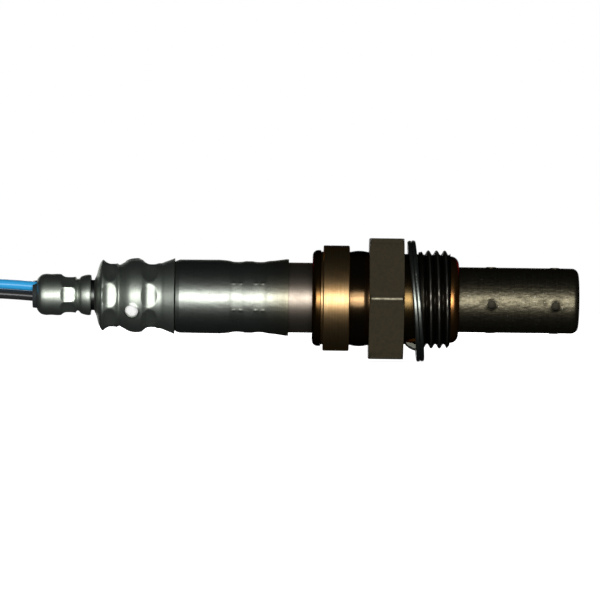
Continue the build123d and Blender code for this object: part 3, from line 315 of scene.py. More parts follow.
@dataclass(frozen=True)
class Finish:
    """A surface finish. Subclasses say how it varies over the surface."""

    name: str
    colour: Colour
    roughness: float

    def material(self) -> bpy.types.Material:
        """Builds the material once, and returns it.

        Returns:
            The material.
        """
        found = bpy.data.materials.get(self.name)
        if found is not None:
            return found
        made = bpy.data.materials.new(self.name)
        made.use_nodes = True
        graph = Graph(made.node_tree)
        inputs = {"Base Color": (*self.colour, 1.0), "Roughness": self.roughness}
        surface = graph.node("ShaderNodeBsdfPrincipled", {}, inputs | self.constants())
        for name, wire in self.varied(graph).items():
            graph.tree.links.new(wire.socket, surface.socket.node.inputs[name])
        graph.node("ShaderNodeOutputMaterial", {}, {"Surface": surface})
        return made

    def constants(self) -> dict:
        """The shader inputs that are the same all over."""
        return {}

    def varied(self, graph: Graph) -> dict[str, Wire]:
        """The shader inputs that change over the surface."""
        return {}


@dataclass(frozen=True)
class Metal(Finish):
    """Bare, tinted or sooted metal with stains, specks, turning lines and worn edges.

    The tint is a row of (x, colour) stops along the sensor's axis. Wear starts at a radius, as a
    corner or a thread's crest has, and soot ends at one, as in a thread's root.
    """

    metallic: float = 1.0
    tint: tuple[tuple[float, Colour], ...] = ()
    stain: Colour = (0.07, 0.06, 0.045)
    stain_share: float = 0.3
    stain_size: Point = (2.6, 1.7, 1.7)
    stain_span: Spot = (0.46, 0.72)
    speck: Colour = (0.02, 0.018, 0.015)
    speck_share: float = 0.35
    speck_size: float = 0.32
    speck_span: Spot = (0.66, 0.76)
    speck_rise: float = 0.5
    line_size: Point = (0.07, 5.0, 5.0)
    line_share: float = 0.1
    line_depth: float = 0.002
    line_span: Spot = (0.4, 0.62)
    ripple_size: Point = (2.4, 1.3, 1.3)
    ripple_depth: float = 0.012
    rough_swing: float = 0.1
    edge: float = 0.35
    worn: Colour = (0.62, 0.58, 0.46)
    worn_roughness: float = 0.34
    worn_fray: float = 0.1
    worn_radii: Spot | None = None
    sooted_radii: Spot | None = None

    def constants(self) -> dict:
        """A metal's edge reflection is held back, as oxide does."""
        tint = (self.edge, self.edge, self.edge, 1.0)
        return {"Metallic": self.metallic, "Specular Tint": tint}

    def varied(self, graph: Graph) -> dict[str, Wire]:
        """Colour, roughness, metal and normal over the surface.

        Args:
            graph: The material's tree.

        Returns:
            Each input's name and wire.
        """
        lines = graph.grain(self.line_size, 2.0)
        stains = graph.grain(self.stain_size, 4.0, 0.6)
        specks = graph.grain((self.speck_size,) * 3, 2.0)
        ripple = graph.grain(self.ripple_size, 1.0)
        x, radius = graph.polar_place()
        shares = (
            (graph.smooth(stains, *self.stain_span) * self.stain_share, self.stain),
            (graph.smooth(lines, *self.line_span) * self.line_share, self.stain),
            (graph.smooth(specks, *self.speck_span) * self.speck_share, self.speck),
        )
        base = self.tinted(graph, x)
        for share, colour in shares:
            base = graph.blend(share, base, colour)
        rough = self.roughness + (lines + stains - 1.0) * self.rough_swing
        relief = ripple * (self.ripple_depth / self.line_depth) + lines + specks * self.speck_rise
        made = {"Normal": graph.bump(relief, self.line_depth)}
        if self.sooted_radii:
            sooted = 1.0 - graph.smooth(radius, *self.sooted_radii)
            base = graph.blend(sooted, base, self.speck)
        if self.worn_radii:
            share = graph.smooth(radius + (stains - 0.5) * self.worn_fray, *self.worn_radii)
            base = graph.blend(share, base, self.worn)
            rough = rough + (self.worn_roughness - rough) * share
            made["Metallic"] = self.metallic + share * (1.0 - self.metallic)
        return made | {"Base Color": base, "Roughness": rough}

    def tinted(self, graph: Graph, x: Wire) -> "Wire | Colour":
        """The base colour along the axis: heat tint, and on the casing's tail a painted shade.

        Args:
            graph: The material's tree.
            x: The place along the axis.

        Returns:
            The colour.
        """
        if not self.tint:
            return self.colour
        low, high = self.tint[0][0], self.tint[-1][0]
        stops = [((place - low) / (high - low), colour) for place, colour in self.tint]
        return graph.node("ShaderNodeValToRGB", {"stops": stops}, {0: (x - low) / (high - low)})


@dataclass(frozen=True)
class Soft(Finish):
    """Rubber, plastic, ceramic or insulation, with a fine grain and a little dirt."""

    grain_size: float = 0.25
    grain_depth: float = 0.01
    dirt: Colour = (0.05, 0.045, 0.04)
    dirt_span: Spot = (0.55, 0.95)
    dirt_share: float = 0.5
    patch_size: float = 4.0
    gloss: float = 0.15
    rough_swing: float = 0.15

    def constants(self) -> dict:
        """How strongly the surface mirrors."""
        return {"Specular IOR Level": self.gloss}

    def varied(self, graph: Graph) -> dict[str, Wire]:
        """Colour, roughness and normal from fine grain and patches of dirt.

        Args:
            graph: The material's tree.

        Returns:
            Each input's name and wire.
        """
        fine = graph.grain((self.grain_size,) * 3)
        patches = graph.grain((self.patch_size,) * 3, 4.0)
        share = graph.smooth(patches, *self.dirt_span) * self.dirt_share
        return {
            "Base Color": graph.blend(share, self.colour, self.dirt),
            "Roughness": self.roughness + (patches - 0.5) * self.rough_swing,
            "Normal": graph.bump(fine, self.grain_depth),
        }


class Look:
    """The finishes of this sensor."""

    NOSE = Metal(
        "worn_nose_steel", (0.135, 0.12, 0.08), 0.39,
        stain=(0.035, 0.03, 0.018), stain_share=0.75, stain_size=(1.3, 0.8, 0.8),
        speck=(0.4, 0.4, 0.34), speck_share=0.5, speck_size=0.5, rough_swing=0.25,
        ripple_depth=0.05, ripple_size=(1.1, 0.6, 0.6), edge=0.1,
    )
    INNER = Metal("inner_nose_steel", (0.045, 0.042, 0.03), 0.6, edge=0.0)
    HEXAGON = Metal(
        "dull_forged_hexagon", (0.044, 0.034, 0.019), 0.62, metallic=0.25,
        stain=(0.025, 0.024, 0.014), stain_share=0.5, stain_size=(0.9, 0.9, 0.9),
        speck_share=0.3, ripple_depth=0.008, line_share=0.3, line_size=(0.35, 0.35, 0.35),
        worn=(0.2, 0.185, 0.13), worn_radii=(12.52, 12.62),
    )
    NECK = Metal("dark_oxide_neck", (0.2, 0.12, 0.055), 0.17, stain_share=0.15, edge=0.0)
    COLLAR = Metal(
        "gold_tinted_collar", (0.52, 0.34, 0.16), 0.34,
        stain=(0.26, 0.12, 0.03), line_share=0.3, line_size=(0.16, 6.0, 6.0), edge=0.0,
    )
    RIM = Metal("gold_tinted_rim", (0.26, 0.13, 0.04), 0.22, edge=0.0)
    UNDERCUT = Metal("dark_oxide_undercut", (0.16, 0.1, 0.035), 0.26, edge=0.0)
    THREAD = Metal(
        "sooted_thread", (0.1, 0.09, 0.07), 0.33,
        worn=(0.3, 0.28, 0.24), worn_radii=(8.86, 8.97), sooted_radii=(8.1, 8.5), edge=0.1,
    )
    LIP = Metal("copper_tinted_lip", (0.45, 0.2, 0.06), 0.27, edge=0.0)
    GASKET = Metal("folded_gasket", (0.26, 0.28, 0.25), 0.34, stain_share=0.4, edge=0.1)
    TAB = Metal("clean_gasket_tab", (0.5, 0.52, 0.44), 0.5, stain_share=0.1)
    TINTED = Metal("heat_tinted_tube", (0.38, 0.32, 0.26), 0.41, stain_share=0.15, edge=0.1)
    CASING = Metal(
        "satin_casing", (0.36, 0.38, 0.33), 0.36,
        # The stops from -60 to -42 darken the casing's tail, where it shows in the gap between cap
        # and cover: painted shade. The browner stop at -21 is heat tint.
        tint=(
            (-60.0, (0.1, 0.11, 0.1)), (-50.0, (0.15, 0.16, 0.15)), (-42.0, (0.37, 0.4, 0.36)),
            (-27.0, (0.37, 0.39, 0.34)), (-21.0, (0.3, 0.28, 0.2)),
        ),
        stain_share=0.2, ripple_size=(1.7, 0.9, 0.9), ripple_depth=0.025, edge=0.15,
    )
    COVER = Metal(
        "satin_cover", (0.46, 0.5, 0.44), 0.44, stain_share=0.18, ripple_depth=0.02,
    )
    CONTACT = Metal("sprung_contact", (0.62, 0.58, 0.5), 0.3)
    TIN = Metal("tinned_terminal", (0.66, 0.65, 0.6), 0.3)
    CERAMIC = Soft("technical_ceramic", (0.8, 0.79, 0.74), 0.6)
    TALC = Soft("pressed_talc", (0.7, 0.69, 0.66), 0.85)
    FILTER = Soft("porous_filter", (0.95, 0.95, 0.94), 0.6)
    RUBBER = Soft("black_bung", (0.02, 0.024, 0.024), 0.55)
    SEAL = Soft("orange_seal", (0.42, 0.13, 0.03), 0.5)
    BLUE = Soft("blue_insulation", (0.003, 0.16, 0.58), 0.45, dirt=(0.0, 0.05, 0.3))
    BLACK = Soft("black_insulation", (0.003, 0.008, 0.009), 0.4, dirt=(0.01, 0.01, 0.01))
    WHITE = Soft("white_insulation", (0.78, 0.78, 0.75), 0.35)
    SLEEVE = Soft("woven_sleeve", (0.03, 0.03, 0.032), 0.7)
    PLASTIC = Soft("black_plastic", (0.022, 0.022, 0.024), 0.45)
    LOCK = Soft("grey_lock", (0.3, 0.31, 0.32), 0.45)


NODE_LOOKS: dict[Finish, tuple[str, ...]] = {
    Look.GASKET: ("gasket", "seat_packing", "lock_ring", "insulator_spring"),
    Look.INNER: ("inner_protector",),
    Look.CERAMIC: ("zirconia_element", "heater_rod", "insulator_ring", "rear_insulator"),
    Look.TALC: ("talc_seal",),
    Look.TINTED: ("lower_tube",),
    Look.FILTER: ("vent_filter",),
    Look.RUBBER: ("grommet",),
    Look.CONTACT: ("outer_contact", "inner_contact", "heater_terminal_1", "heater_terminal_2"),
    Look.PLASTIC: ("hank_tie", "connector_housing", "connector_cover"),
    Look.SEAL: ("connector_seal",),
    Look.LOCK: ("connector_lock",),
    Look.TIN: tuple(f"connector_terminal_{number}" for number in range(1, 5)),
}


def add_object(name: str, data: bpy.types.ID | None) -> bpy.types.Object:
    """Links a new object with this data into the scene, and returns it."""
    made = bpy.data.objects.new(name, data)
    bpy.context.scene.collection.objects.link(made)
    return made


def stand_for(piece: bpy.types.Object, slot: str, *nodes: str) -> bpy.types.Object:
    """Makes a finished piece ride on the body, in the place of CAD nodes if it has any.

    Args:
        piece: The finished piece.
        slot: The record's material slot; not used.
        nodes: The CAD nodes that it replaces.

    Returns:
        The piece.
    """
    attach(piece, BODY)
    if nodes:
        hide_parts(*nodes)
    log.info("%s made, stands for: %s", piece.name, ", ".join(nodes) or "no node")
    return piece


class Placing(Enum):
    """A lead's node, its finish, its side (+Y or -Y) and its level (up or down)."""

    BLUE = ("lead_blue", Look.BLUE, -1, 1)
    BLACK_1 = ("lead_black_1", Look.BLACK, -1, -1)
    WHITE = ("lead_white", Look.WHITE, 1, 1)
    BLACK_2 = ("lead_black_2", Look.BLACK, 1, -1)


@dataclass
class Leads:
    """The four leads from the terminals through the bung to the loom.

    A station is the bundle's x and z, and how far each lead lies from its middle.
    """

    radius: float = 0.89
    exit_x: float = -67.8
    exit_spread: float = 0.9
    stations: tuple[Corner, ...] = (
        (-42.9, 0.0, 2.05),
        (-47.5, 0.0, 2.05),
        (-54.3, 0.0, 0.9),
        (-61.6, 0.0, 0.9),
        (-69.0, 0.7, 0.9),
        (-77.0, 1.05, 0.9),
        (-85.5, -0.6, 0.9),
        (-93.0, -5.1, 0.9),
        (-100.0, -8.451, 0.9),
        (-106.5, -8.451, 0.9),
    )

    def route(self, placing: Placing) -> list[Point]:
        """The points of one lead, which keeps its place beside the others.

        Args:
            placing: The lead's side and level.

        Returns:
            Its points, in millimetres.
        """
        _, _, side, level = placing.value
        points = []
        last = len(self.stations) - 1
        for number, (x, z, spread) in enumerate(self.stations):
            x_before, z_before, _ = self.stations[max(number - 1, 0)]
            x_after, z_after, _ = self.stations[min(number + 1, last)]
            before = math.atan2(z_before - z, x_before - x) if number else 0.0
            after = math.atan2(z - z_after, x - x_after) if number < last else 0.0
            slope = (before + after) / 2
            reach = level * spread / math.cos((after - before) / 2)
            x_moved, z_moved = x - math.sin(slope) * reach, z + math.cos(slope) * reach
            points.append((x_moved, side * spread, z_moved))
        return points

    @staticmethod
    def length(points: Sequence[Point]) -> float:
        """The length of a route's straight runs, in millimetres."""
        return sum(math.dist(a, b) for a, b in zip(points, points[1:]))

    def build(self) -> list[bpy.types.Object]:
        """Returns:
            The leads.
        """
        made = []
        for placing in Placing:
            node, finish, side, level = placing.value
            points = self.route(placing)
            lead = cord_curve(f"{node}_insulation", points, self.radius)
            lead.data.materials.append(finish.material())
            stand_for(lead, finish.name, node)
            self.length(points) * MM
            2 * self.radius * MM
            made.append(lead)
        return made


def cord_curve(name: str, points: Sequence[Point], radius: float) -> bpy.types.Object:
    """A round cord on a smooth line.

    Args:
        name: The object's name.
        points: The route, in millimetres.
        radius: The cord's radius, in millimetres; 0 leaves the bare line.

    Returns:
        The curve's object.
    """
    data = bpy.data.curves.new(name, "CURVE")
    data.dimensions = "3D"
    data.resolution_u = CORD_STEPS
    data.bevel_depth = radius * MM
    data.bevel_resolution = CORD_BEVEL
    data.use_fill_caps = radius > 0
    spline = data.splines.new("NURBS")
    spline.points.add(len(points) - 1)
    for control, point in zip(spline.points, points):
        control.co = (*(value * MM for value in point), 1.0)
    spline.order_u = 3
    spline.use_endpoint_u = True
    return add_object(name, data)


@dataclass
class Loom:
    """The sleeved part of the leads: straight entry, hank with one fold, free end to the plug."""

    radius: float = 3.0
    height: float = -8.451
    start_x: float = -106.5
    hank_x: float = -163.0
    neck: float = 12.0
    pitch: float = 6.2
    fold_x: float = -211.0
    fold_radius: float = 18.0
    fold_step: float = 23.0
    plug_y: float = -12.5
    nozzle_height: float = -7.201
    length: float = 256.0
    tail: tuple[float, float, float] = (-150.5, -134.5, -121.0)
    braid_share: float = 0.35

    def route(self) -> list[Point]:
        """The points of the loom, in millimetres.

        Returns:
            The points, from the entry to the plug.
        """
        middle = -self.pitch / 2
        neck_x = self.hank_x - self.neck
        reach = math.hypot(neck_x - self.fold_x, middle)
        lean = math.degrees(math.asin(self.pitch / 2 / reach))
        first = lean + math.degrees(math.acos(self.fold_radius / reach))
        turns = round((360 - 2 * first) / self.fold_step)
        step = (360 - 2 * first) / turns
        outer = self.fold_radius / math.cos(math.radians(step / 2))
        fold = []
        for number in range(turns):
            angle = math.radians(first + (number + 0.5) * step)
            x = self.fold_x + outer * math.cos(angle)
            fold.append((x, middle + outer * math.sin(angle), self.height))
        return [
            (self.start_x, 0.0, self.height),
            ((self.start_x + self.hank_x) / 2, 0.0, self.height),
            (self.hank_x, 0.0, self.height),
            (neck_x, 0.0, self.height),
            *fold,
            (neck_x, -self.pitch, self.height),
            (self.hank_x, -self.pitch, self.height),
            (self.tail[0], -self.pitch, self.height),
            (self.tail[1], self.plug_y, self.nozzle_height),
            (self.tail[2], self.plug_y, self.nozzle_height),
        ]

    def build(self) -> bpy.types.Object:
        """Returns:
            The loom's core.
        """
        sleeve = cord_curve("loom_core", self.route(), self.radius - self.braid_share)
        sleeve.data.materials.append(Look.SLEEVE.material())
        braid = Braid().build(self.route())
        stand_for(sleeve, "loom_braid", "loom_entry", "loom_hank", "loom_tail")
        plug = ["hank_tie"]
        plug += [f"connector_{part}" for part in ("housing", "cover", "seal", "lock")]
        plug += [*NODE_LOOKS[Look.TIN], braid]
        2 * self.radius * MM
        return sleeve


@dataclass(frozen=True)
class Ring:
    """One ring of points of a turned blank; across flats is its hexagon's width, if it has one."""

    x: float
    radius: float
    flats: float = 0.0
    corner: float = 0.7

    def radii(self, turns: np.ndarray) -> np.ndarray:
        """The ring's radius at each angle, with a small rounding on the hexagon's corners.

        Args:
            turns: The angles, in radians.

        Returns:
            The radii.
        """
        if not self.flats:
            return np.full_like(turns, self.radius)
        from_corner = (turns + HALF_FLAT) % (2 * HALF_FLAT) - HALF_FLAT
        flat = self.flats / 2 / np.cos(np.abs(from_corner) - HALF_FLAT)
        centre = (self.flats / 2 - self.corner) / math.cos(HALF_FLAT)
        inside = np.clip(self.corner**2 - (centre * np.sin(from_corner)) ** 2, 0.0, None)
        arc = centre * np.cos(from_corner) + np.sqrt(inside)
        near = math.atan2(self.corner / 2, centre + self.corner * math.cos(HALF_FLAT))
        sides = np.where(np.abs(from_corner) < near, arc, flat)
        return np.minimum(sides, self.radius)


def rounded(corners: Sequence[Corner], steps: int = 6) -> list[Spot]:
    """Rounds the corners of a closed profile with arcs.

    Args:
        corners: Each corner's x, radius from the axis, and rounding.
        steps: How many pieces an arc has.

    Returns:
        The points of the profile.
    """
    made = []
    for number, (x, radius, rounding) in enumerate(corners):
        at = np.array((x, radius))
        if rounding == 0:
            made.append((x, radius))
            continue
        before = np.array(corners[number - 1][:2]) - at
        after = np.array(corners[(number + 1) % len(corners)][:2]) - at
        before, after = before / np.linalg.norm(before), after / np.linalg.norm(after)
        half = math.acos(float(np.clip(before @ after, -1.0, 1.0))) / 2
        start, end = at + before * rounding / math.tan(half), at + after * rounding / math.tan(half)
        for step in range(steps + 1):
            share = step / steps
            weights = (1 - share) ** 2, 2 * share * (1 - share) * math.sin(half), share**2
            point = (start * weights[0] + at * weights[1] + end * weights[2]) / sum(weights)
            made.append((float(point[0]), float(point[1])))
    return made


def divided(
    points: Profile, longest: float, span: Spot = (-math.inf, math.inf)
) -> list[Spot]:
    """Divides the long runs of an open profile.

    Args:
        points: The profile.
        longest: How long a run may be.
        span: The part of x in which runs are divided.

    Returns:
        The profile with its new points.
    """
    made = []
    for start, end in zip(points, points[1:]):
        inside = min(start[0], end[0]) < span[1] and max(start[0], end[0]) > span[0]
        parts = max(1, math.ceil(math.dist(start, end) / longest)) if inside else 1
        for step in range(parts):
            share = step / parts
            made.append(tuple(a + (b - a) * share for a, b in zip(start, end)))
    return [*made, points[-1]]


def lathe(
    name: str, rings: Sequence[Ring], degrees: np.ndarray, closed: bool = True
) -> bpy.types.Object:
    """Joins rings into a closed skin.

    Args:
        name: The object's name.
        rings: The profile's rings: outside from the nose backwards, then inside forwards.
        degrees: The angles at which each ring has points.
        closed: Whether the last ring is joined to the first.

    Returns:
        The blank's object.
    """
    turns = np.radians(degrees)
    count = len(turns)
    loops = []
    for ring in rings:
        radii = ring.radii(turns)
        across, up = radii * np.cos(turns), radii * np.sin(turns)
        loops.append(np.stack([np.full(count, ring.x), across, up], 1))
    here = np.arange(len(rings))[:, None] * count
    behind = np.roll(here, -1, axis=0)
    side, next_side = np.arange(count), np.roll(np.arange(count), -1)
    quads = np.stack([here + side, behind + side, behind + next_side, here + next_side], axis=-1)
    quads = quads if closed else quads[:-1]
    mesh = bpy.data.meshes.new(name)
    mesh.from_pydata((np.concatenate(loops) * MM).tolist(), [], quads.reshape(-1, 4).tolist())
    return add_object(name, mesh)


@dataclass
class Housing:
    """The housing: hexagon, right-handed thread, neck, gold-tinted collar and rolled rim."""

    flats: float = 22.0
    hexagon_length: float = 6.32
    chamfer: float = 0.35
    edge: float = 0.08
    crest: float = 9.0
    root: float = 8.16
    pitch: float = 1.5
    thread_start: float = 2.7
    thread_end: float = 8.5
    thread_step: float = 0.06
    runout: float = 1.5
    runout_radius: float = 8.6
    crest_x: float = 1.09
    crest_end: float = 8.0
    flank_span: Spot = (0.12, 0.8)
    flank_share: float = 0.55
    cut_floor: float = 7.8
    undercut: float = 8.28
    fillet: float = 0.12
    lip: Corner = (10.1, 7.95, 1.5)
    lip_bore: float = 6.02
    lip_face: float = 8.45
    neck: float = 8.55
    neck_bulge: float = 0.21
    neck_end: float = 0.25
    neck_steps: int = 12
    neck_power: float = 0.8
    collar_x: float = -9.9
    groove_x: float = -14.9
    collar_and_rim: tuple[Corner, ...] = (
        (-9.9, 9.65, 0.22), (-14.7, 9.65, 0.22), (-14.7, 8.5, 0.0), (-15.1, 8.5, 0.0),
        (-15.1, 8.8, 0.16), (-16.7, 8.8, 1.05), (-16.7, 6.52, 0.12),
    )
    inner_wall: tuple[Spot, ...] = (
        (-14.6, 6.52), (-14.6, 7.4), (-2.6, 7.4), (-0.9, 5.2),
        (6.2, 5.2), (6.2, 7.3), (7.1, 7.3), (7.1, 6.02),
    )
    angle_step: float = 1.5
    corner_reach: int = 6
    corner_step: float = 0.3
    margin: float = 0.01
    sharp: float = 30.0

    def angles(self) -> np.ndarray:
        """Even angles, with more of them at the hexagon's corners."""
        near = np.arange(-self.corner_reach, self.corner_reach + 1) * self.corner_step
        corners = (np.arange(0.0, 360.0, 60.0)[:, None] + near).ravel() % 360.0
        return np.unique(np.concatenate([np.arange(0.0, 360.0, self.angle_step), corners]))

    def front(self) -> list[Ring]:
        """The rings from the lip to the hexagon.

        Returns:
            The rings.
        """
        end, low, _ = self.lip
        start, stop = self.thread_start, self.thread_end
        lip = rounded([(end, self.lip_bore, 0.0), self.lip, (stop, low, 0.0)])
        shank = [(stop, low), (stop, self.lip_face), (self.crest_end, self.crest)]
        shank += [(start + self.runout, self.crest), (start, self.runout_radius)]
        shank.append((start, self.undercut))
        fillet = [(self.fillet, self.undercut), (0.0, self.undercut + self.fillet)]
        points = lip + divided(shank, self.thread_step)[1:] + fillet
        return [Ring(x, radius) for x, radius in points]

    def hexagon(self) -> list[Ring]:
        """The hexagon's rings, with turned chamfers that only cut its corners.

        Returns:
            The rings.
        """
        corner = self.flats / 2 / math.cos(HALF_FLAT)
        low, bevel = corner - 2 * self.chamfer, self.edge
        shoulder = [
            (0.0, low - bevel, 2 * bevel),
            (bevel * 0.3, low - bevel * 0.2, bevel * 0.6),
            (bevel, low + bevel, 0.0),
            (self.chamfer, corner, 0.0),
        ]
        front = [Ring(-x, radius, self.flats - less) for x, radius, less in shoulder]
        length = self.hexagon_length
        back = [Ring(x - length, radius, self.flats - less) for x, radius, less in shoulder[::-1]]
        return front + back

    def back(self) -> list[Ring]:
        """The rings of the neck, the collar and the rim.

        Returns:
            The rings.
        """
        front_x, back_x = -self.hexagon_length, self.collar_x
        neck = [(front_x, self.neck), (front_x - self.neck_end, self.neck)]
        span = back_x + self.neck_end - (front_x - self.neck_end)
        for step in range(1, self.neck_steps):
            share = step / self.neck_steps
            bulge = self.neck_bulge * math.sin(math.pi * share) ** self.neck_power
            neck.append((front_x - self.neck_end + span * share, self.neck + bulge))
        neck += [(back_x + self.neck_end, self.neck), (back_x, self.neck)]
        inside_bore, on_neck = (-7.0, 6.0, 0.0), (back_x, self.neck, 0.0)
        turned = rounded([inside_bore, on_neck, *self.collar_and_rim])[2:]
        return [Ring(x, radius) for x, radius in neck + turned]

    def build(self) -> bpy.types.Object:
        """Turns the blank, cuts the thread with Geometry Nodes and dresses the faces.

        Returns:
            The housing.
        """
        bore = [Ring(x, radius) for x, radius in self.inner_wall]
        rings = self.front() + self.hexagon() + self.back() + bore
        blank = lathe("housing_blank", rings, self.angles())
        sizes = {
            "Pitch": self.pitch,
            "Crest": self.crest,
            "Root": self.root,
            "Start": self.thread_start - self.margin,
            "End": self.thread_end + self.margin,
            "Offset": self.crest_x,
        }
        maker = Maker("thread_cutter", sizes)
        x, radius, angle = maker.polar()
        turns = (x - maker["Offset"]) / maker["Pitch"] - angle / math.tau
        ramp = abs(maker.maths("FRACT", turns) * 2.0 - 1.0)
        flank = maker.smooth(ramp, *self.flank_span) * self.flank_share
        height = ramp * (1.0 - self.flank_share) + flank
        cut = maker["Crest"] - (1.0 - height) * (maker["Crest"] - maker["Root"])
        inside = (x > maker["Start"]) * (x < maker["End"]) * (radius > self.cut_floor)
        low = maker.maths("MINIMUM", radius, cut)
        moved = maker.reach_out(maker["Blank"], radius, radius + (low - radius) * inside)
        maker.complete(moved, self.finishes(maker.polar()[0]))
        made = maker.make(blank, "housing_body", self.sharp)
        return stand_for(made, "heat_dark_steel", "housing")

    def finishes(self, x: Wire) -> list[tuple[Finish, Wire | None]]:
        """The finishes along the axis, each over the one before it.

        Args:
            x: A face's place along the axis.

        Returns:
            Each finish, with the faces it goes on.
        """
        starts = (
            (Look.COLLAR, self.groove_x),
            (Look.NECK, self.collar_x + self.margin),
            (Look.HEXAGON, -self.hexagon_length - self.margin / 10),
            (Look.UNDERCUT, self.margin / 10),
            (Look.THREAD, self.thread_start - 5 * self.margin),
            (Look.LIP, self.thread_end + self.margin),
        )
        return [(Look.RIM, None), *((finish, x > start) for finish, start in starts)]


def flowing(points: Profile, step: float) -> list[Spot]:
    """A smooth line through the points of a profile.

    Args:
        points: The profile's points.
        step: About how far apart the line's points are.

    Returns:
        The line's points.
    """
    known = np.array(points)
    before = np.vstack([2 * known[0] - known[1], known[:-1]])
    after = np.vstack([known[1:], 2 * known[-1] - known[-2]])
    slopes = (after - before) / 2
    made = []
    for number in range(len(known) - 1):
        start, end = known[number], known[number + 1]
        parts = max(2, math.ceil(float(np.linalg.norm(end - start)) / step))
        for part in range(parts):
            t = part / parts
            spot = (2 * t**3 - 3 * t**2 + 1) * start + (3 * t**2 - 2 * t**3) * end
            leaving, arriving = slopes[number], slopes[number + 1]
            spot = spot + (t**3 - 2 * t**2 + t) * leaving + (t**3 - t**2) * arriving
            made.append((float(spot[0]), float(spot[1])))
    return [*made, tuple(points[-1])]


@dataclass(frozen=True)
class Crimp:
    """A ring of flat dents: its place, half its width, its width across flats, and its ridges."""

    place: float
    half: float
    flats: float
    ridge: float = 0.0


@dataclass(frozen=True)
class HoleRow:
    """A row of holes punched round a shell, with low raised lips."""

    place: float
    first: float
    count: int
    radius: float
    lip: float
    spread: float


@dataclass
class Shell:
    """A thin turned shell, which Geometry Nodes crimp and punch.

    The outline is a row of (x, radius) from the nose backwards. A shell that is closed at the
    nose has it start on the axis.
    """

    node: str
    name: str
    finish: Finish
    wall: float
    slot: str = "casing_steel"
    outline: tuple[Spot, ...] = ()
    spacing: float = 0.25
    crimps: tuple[Crimp, ...] = ()
    holes: tuple[HoleRow, ...] = ()
    sides: float = 8.0
    roller: float = 1.6
    crown: float = 7.0
    corner: float = 0.06
    facet: float = 1.0
    follow: float = 1.0
    ridge_place: float = 0.85
    ridge_size: Spot = (0.5, 0.24)
    crimp_reach: float = 1.8
    hole_reach: float = 0.2
    hole_sides: int = 48
    fine: float = 0.18
    coarse: float = 0.9
    degrees: float = 1.875

    def outside(self) -> list[Spot]:
        """The smooth line of the outside."""
        return flowing(self.outline, self.spacing)

    def inside(self) -> list[Spot]:
        """The line of the inside, straight towards the axis from the outside."""
        return [(x, radius - self.wall) for x, radius in self.outside()]

    def blank(self) -> bpy.types.Object:
        """Turns the shell, with more rings where it is crimped or punched.

        Returns:
            The blank's object.
        """
        busy = [(crimp.place, crimp.half + self.crimp_reach) for crimp in self.crimps]
        busy += [(row.place, row.radius + row.spread + self.hole_reach) for row in self.holes]
        outside = divided(self.outside(), self.coarse)
        for place, reach in busy:
            outside = divided(outside, self.fine, (place - reach, place + reach))
        inside = self.inside()[::-1]
        rings = [Ring(x, radius) for x, radius in [*outside, *inside]]
        angles = np.arange(0.0, 360.0, self.degrees)
        made = lathe(f"{self.name}_blank", rings, angles, outside[0][1] > 0)
        inner = made.data.attributes.new("inner", "FLOAT", "POINT")
        walls = np.array([0.0] * len(outside) + [1.0] * len(inside))
        inner.data.foreach_set("value", np.repeat(walls, len(angles)))
        join_poles(made.data)
        return made

    def sizes(self) -> dict[str, float]:
        """The named sizes that the press takes.

        Returns:
            Each size's name and value.
        """
        made = {"Sides": self.sides, "Roller": self.roller, "Crown": self.crown}
        made |= {"Wall": self.wall, "Follow": self.follow, "Corner": self.corner}
        made["Facet"] = self.facet
        for number, crimp in enumerate(self.crimps, start=1):
            made |= {f"Place {number}": crimp.place, f"Half {number}": crimp.half}
            made |= {f"Flats {number}": crimp.flats, f"Ridge {number}": crimp.ridge}
        for number, row in enumerate(self.holes, start=1):
            made |= {f"Row {number}": row.place, f"Hole {number}": row.radius}
            made |= {f"Lip {number}": row.lip, f"Spread {number}": row.spread}
            made |= {f"First {number}": math.radians(row.first), f"Count {number}": row.count}
        return made

    def build(self) -> bpy.types.Object:
        """Crimps and punches the blank, and puts it in the node's place.

        Returns:
            The shell.
        """
        maker = Maker(f"{self.name}_press", self.sizes())
        piece = maker["Blank"]
        if self.crimps:
            piece = self.crimped(maker, piece)
        for number in range(1, len(self.holes) + 1):
            piece = self.punched(maker, piece, number)
        maker.complete(piece, [(self.finish, None)])
        made = maker.make(self.blank(), self.name)
        made.data.attributes.remove(made.data.attributes["inner"])
        return stand_for(made, self.slot, self.node)

    @staticmethod
    def inner(maker: Maker) -> Wire:
        """1 on the inside of the shell, and 0 on its outside."""
        kind = {"data_type": "FLOAT"}
        return maker.node("GeometryNodeInputNamedAttribute", kind, {"Name": "inner"})

    def crimped(self, maker: Maker, piece: Wire) -> Wire:
        """Presses the rings of flats, and the ridges between their jaws, into the shell.

        Args:
            maker: The tree.
            piece: The shell.

        Returns:
            The pressed shell.
        """
        x, radius, angle = maker.polar()
        inner = self.inner(maker)
        outer = radius + inner * maker["Wall"]
        part = math.tau / maker["Sides"]
        away = angle - maker.maths("ROUND", angle / part) * part
        facing = 1.0 - (1.0 - maker.maths("COSINE", away)) * maker["Facet"]
        reach = outer * facing
        ridges = None
        long, wide = self.ridge_size
        for number in range(1, len(self.crimps) + 1):
            half = maker[f"Half {number}"]
            along = abs(x - maker[f"Place {number}"])
            beyond = maker.maths("MAXIMUM", along - half, 0.0)
            rise = beyond * beyond / (maker["Roller"] * 2.0)
            rise = rise + along * along / (maker["Crown"] * 2.0)
            limit = maker[f"Flats {number}"] / 2.0 + rise
            reach = maker.maths("SMOOTH_MIN", reach, limit, maker["Corner"])
            ends = abs(along - half * self.ridge_place) / long
            across = (part / 2.0 - abs(away)) * outer / wide
            spot = 1.0 - maker.smooth(ends * ends + across * across, 0.0, 1.0)
            spot = spot * maker[f"Ridge {number}"]
            ridges = spot if ridges is None else ridges + spot
        share = 1.0 - inner * (1.0 - maker["Follow"])
        change = reach / facing - outer + ridges * (1.0 - inner)
        return maker.reach_out(piece, radius, radius + change * share)

